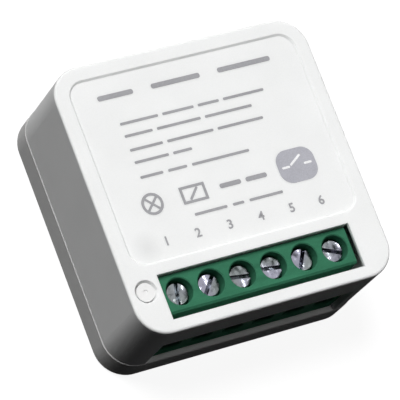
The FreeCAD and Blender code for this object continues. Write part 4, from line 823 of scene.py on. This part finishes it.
terminalNumbers = {
    "height": 1.35,
    "capShare": 0.72,                  # a digit's height over the font's size
    "weight": 0.035,
    "low": -8.05,
    "middles": [-12.0, -7.0, -1.9, 3.1, 8.1, 12.9],
}


def printedNumber(text, middle):
    look = terminalNumbers
    curve = bpy.data.curves.new("number_" + text, "FONT")
    curve.body = text
    curve.align_x = "CENTER"
    curve.size = look["height"] / look["capShare"] * mm
    curve.extrude = panelPrint["thickness"] / 2 * mm
    curve.offset = look["weight"] * mm
    maker = bpy.data.objects.new("number_maker_" + text, curve)
    bpy.context.scene.collection.objects.link(maker)
    bpy.context.view_layer.update()
    made = maker.evaluated_get(bpy.context.evaluated_depsgraph_get())
    data = bpy.data.meshes.new_from_object(made)
    bpy.data.objects.remove(maker)
    halfway = sum(inkLevels()) / 2     # the digit's mesh reaches as far down as up
    data.transform(Matrix.Translation((middle * mm, look["low"] * mm, halfway)))
    placeMark("terminal_number_" + text, data, inkFinish)


for number, middle in enumerate(terminalNumbers["middles"], 1):
    printedNumber(str(number), middle)
print("smart switch: terminal numbers made")


# Floor, background and light

studio = {
    "floorSize": 3.0,                  # metres
    "floorDrop": 0.00002,              # metres, so that the floor doesn't share the base's face
    "floorGlow": 0.90,
    "floorColour": (0.20, 0.20, 0.20),
    "floorBounce": (0.005, 0.005, 0.005),
    "floorRoughness": 0.9,
    "background": (1.0, 1.0, 1.0),
    "ambient": (0.010, 0.010, 0.0105),
    "lampDistance": 0.5,               # metres
}
# direction that the light comes from, strength, and the width of its disc in degrees
lamps = {
    "key_light": {"comesFrom": (-0.294, 0.44, 1.0), "strength": 3.14, "angle": 28.0},
    "side_light": {"comesFrom": (1.0, 0.45, 0.12), "strength": 0.60, "angle": 30.0},
    "front_light": {"comesFrom": (0.06, -0.12, 1.0), "strength": 0.34, "angle": 8.0},
}


def higherOf(tree, first, second):
    higher = tree.nodes.new("ShaderNodeMath")
    higher.operation = "MAXIMUM"
    tree.links.new(first, higher.inputs[0])
    tree.links.new(second, higher.inputs[1])
    return higher.outputs[0]


def seenDirectly(tree):
    # 1 for what the camera, a mirror-like surface or clear plastic sees
    path = tree.nodes.new("ShaderNodeLightPath")
    seen = higherOf(tree, path.outputs["Is Camera Ray"], path.outputs["Is Glossy Ray"])
    return higherOf(tree, seen, path.outputs["Is Transmission Ray"])


def makeFloor():
    half = studio["floorSize"] / 2
    level = -studio["floorDrop"]
    data = bpy.data.meshes.new("studio_floor")
    corners = [(-half, -half, level), (half, -half, level), (half, half, level), (-half, half, level)]
    data.from_pydata(corners, [], [(0, 1, 2, 3)])
    floor = bpy.data.objects.new("studio_floor", data)
    bpy.context.scene.collection.objects.link(floor)
    finish, tree, shader = startFinish("studioFloor", studio["floorRoughness"], specular=0.0)
    seen = seenDirectly(tree)
    pale = addRamp(tree, seen, [(0.0, studio["floorBounce"]), (1.0, studio["floorColour"])])
    tree.links.new(pale, shader.inputs["Base Color"])
    shader.inputs["Emission Color"].default_value = (*white, 1)
    glow = addRange(tree, seen, 0.0, studio["floorGlow"], 0, 1)
    tree.links.new(glow, shader.inputs["Emission Strength"])
    data.materials.append(finish)


def makeWorld():
    world = bpy.data.worlds.new("studioWorld")
    bpy.context.scene.world = world
    world.use_nodes = True
    tree = world.node_tree
    seen = seenDirectly(tree)
    colour = addRamp(tree, seen, [(0.0, studio["ambient"]), (1.0, studio["background"])])
    tree.links.new(colour, tree.nodes["Background"].inputs["Color"])


def addLamp(name, look):
    lamp = bpy.data.lights.new(name, "SUN")
    lamp.energy = look["strength"]
    lamp.angle = math.radians(look["angle"])
    direction = Vector(look["comesFrom"])
    holder = bpy.data.objects.new(name, lamp)
    holder.rotation_mode = "QUATERNION"
    holder.rotation_quaternion = direction.to_track_quat("Z", "Y")
    holder.location = direction.normalized() * studio["lampDistance"]
    bpy.context.scene.collection.objects.link(holder)


makeFloor()
makeWorld()
for name, look in lamps.items():
    addLamp(name, look)
print("smart switch: studio made")


# Camera: above the front left corner, long lens, rolled as in the photograph

cameraView = {
    "sensor": 36,                      # mm
    "lens": 271.789,                   # mm
    "place": (-0.1831274, -0.102264, 0.3897266),
    "right": (0.8774033, -0.35033, 0.3277687),
    "up": (0.2300236, 0.9067467, 0.3534112),
    "back": (-0.4210137, -0.2346897, 0.8761668),
    "clip": (0.01, 10),                # metres
}

lens = bpy.data.cameras.new("photo_camera")
lens.sensor_width = cameraView["sensor"]
lens.lens = cameraView["lens"]
lens.clip_start, lens.clip_end = cameraView["clip"]
camera = bpy.data.objects.new("photo_camera", lens)
bpy.context.scene.collection.objects.link(camera)
axes = Matrix((cameraView["right"], cameraView["up"], cameraView["back"])).transposed()
camera.matrix_world = Matrix.Translation(cameraView["place"]) @ axes.to_4x4()
bpy.context.scene.camera = camera
bpy.context.scene.view_settings.view_transform = "Standard"
print("smart switch: camera placed")
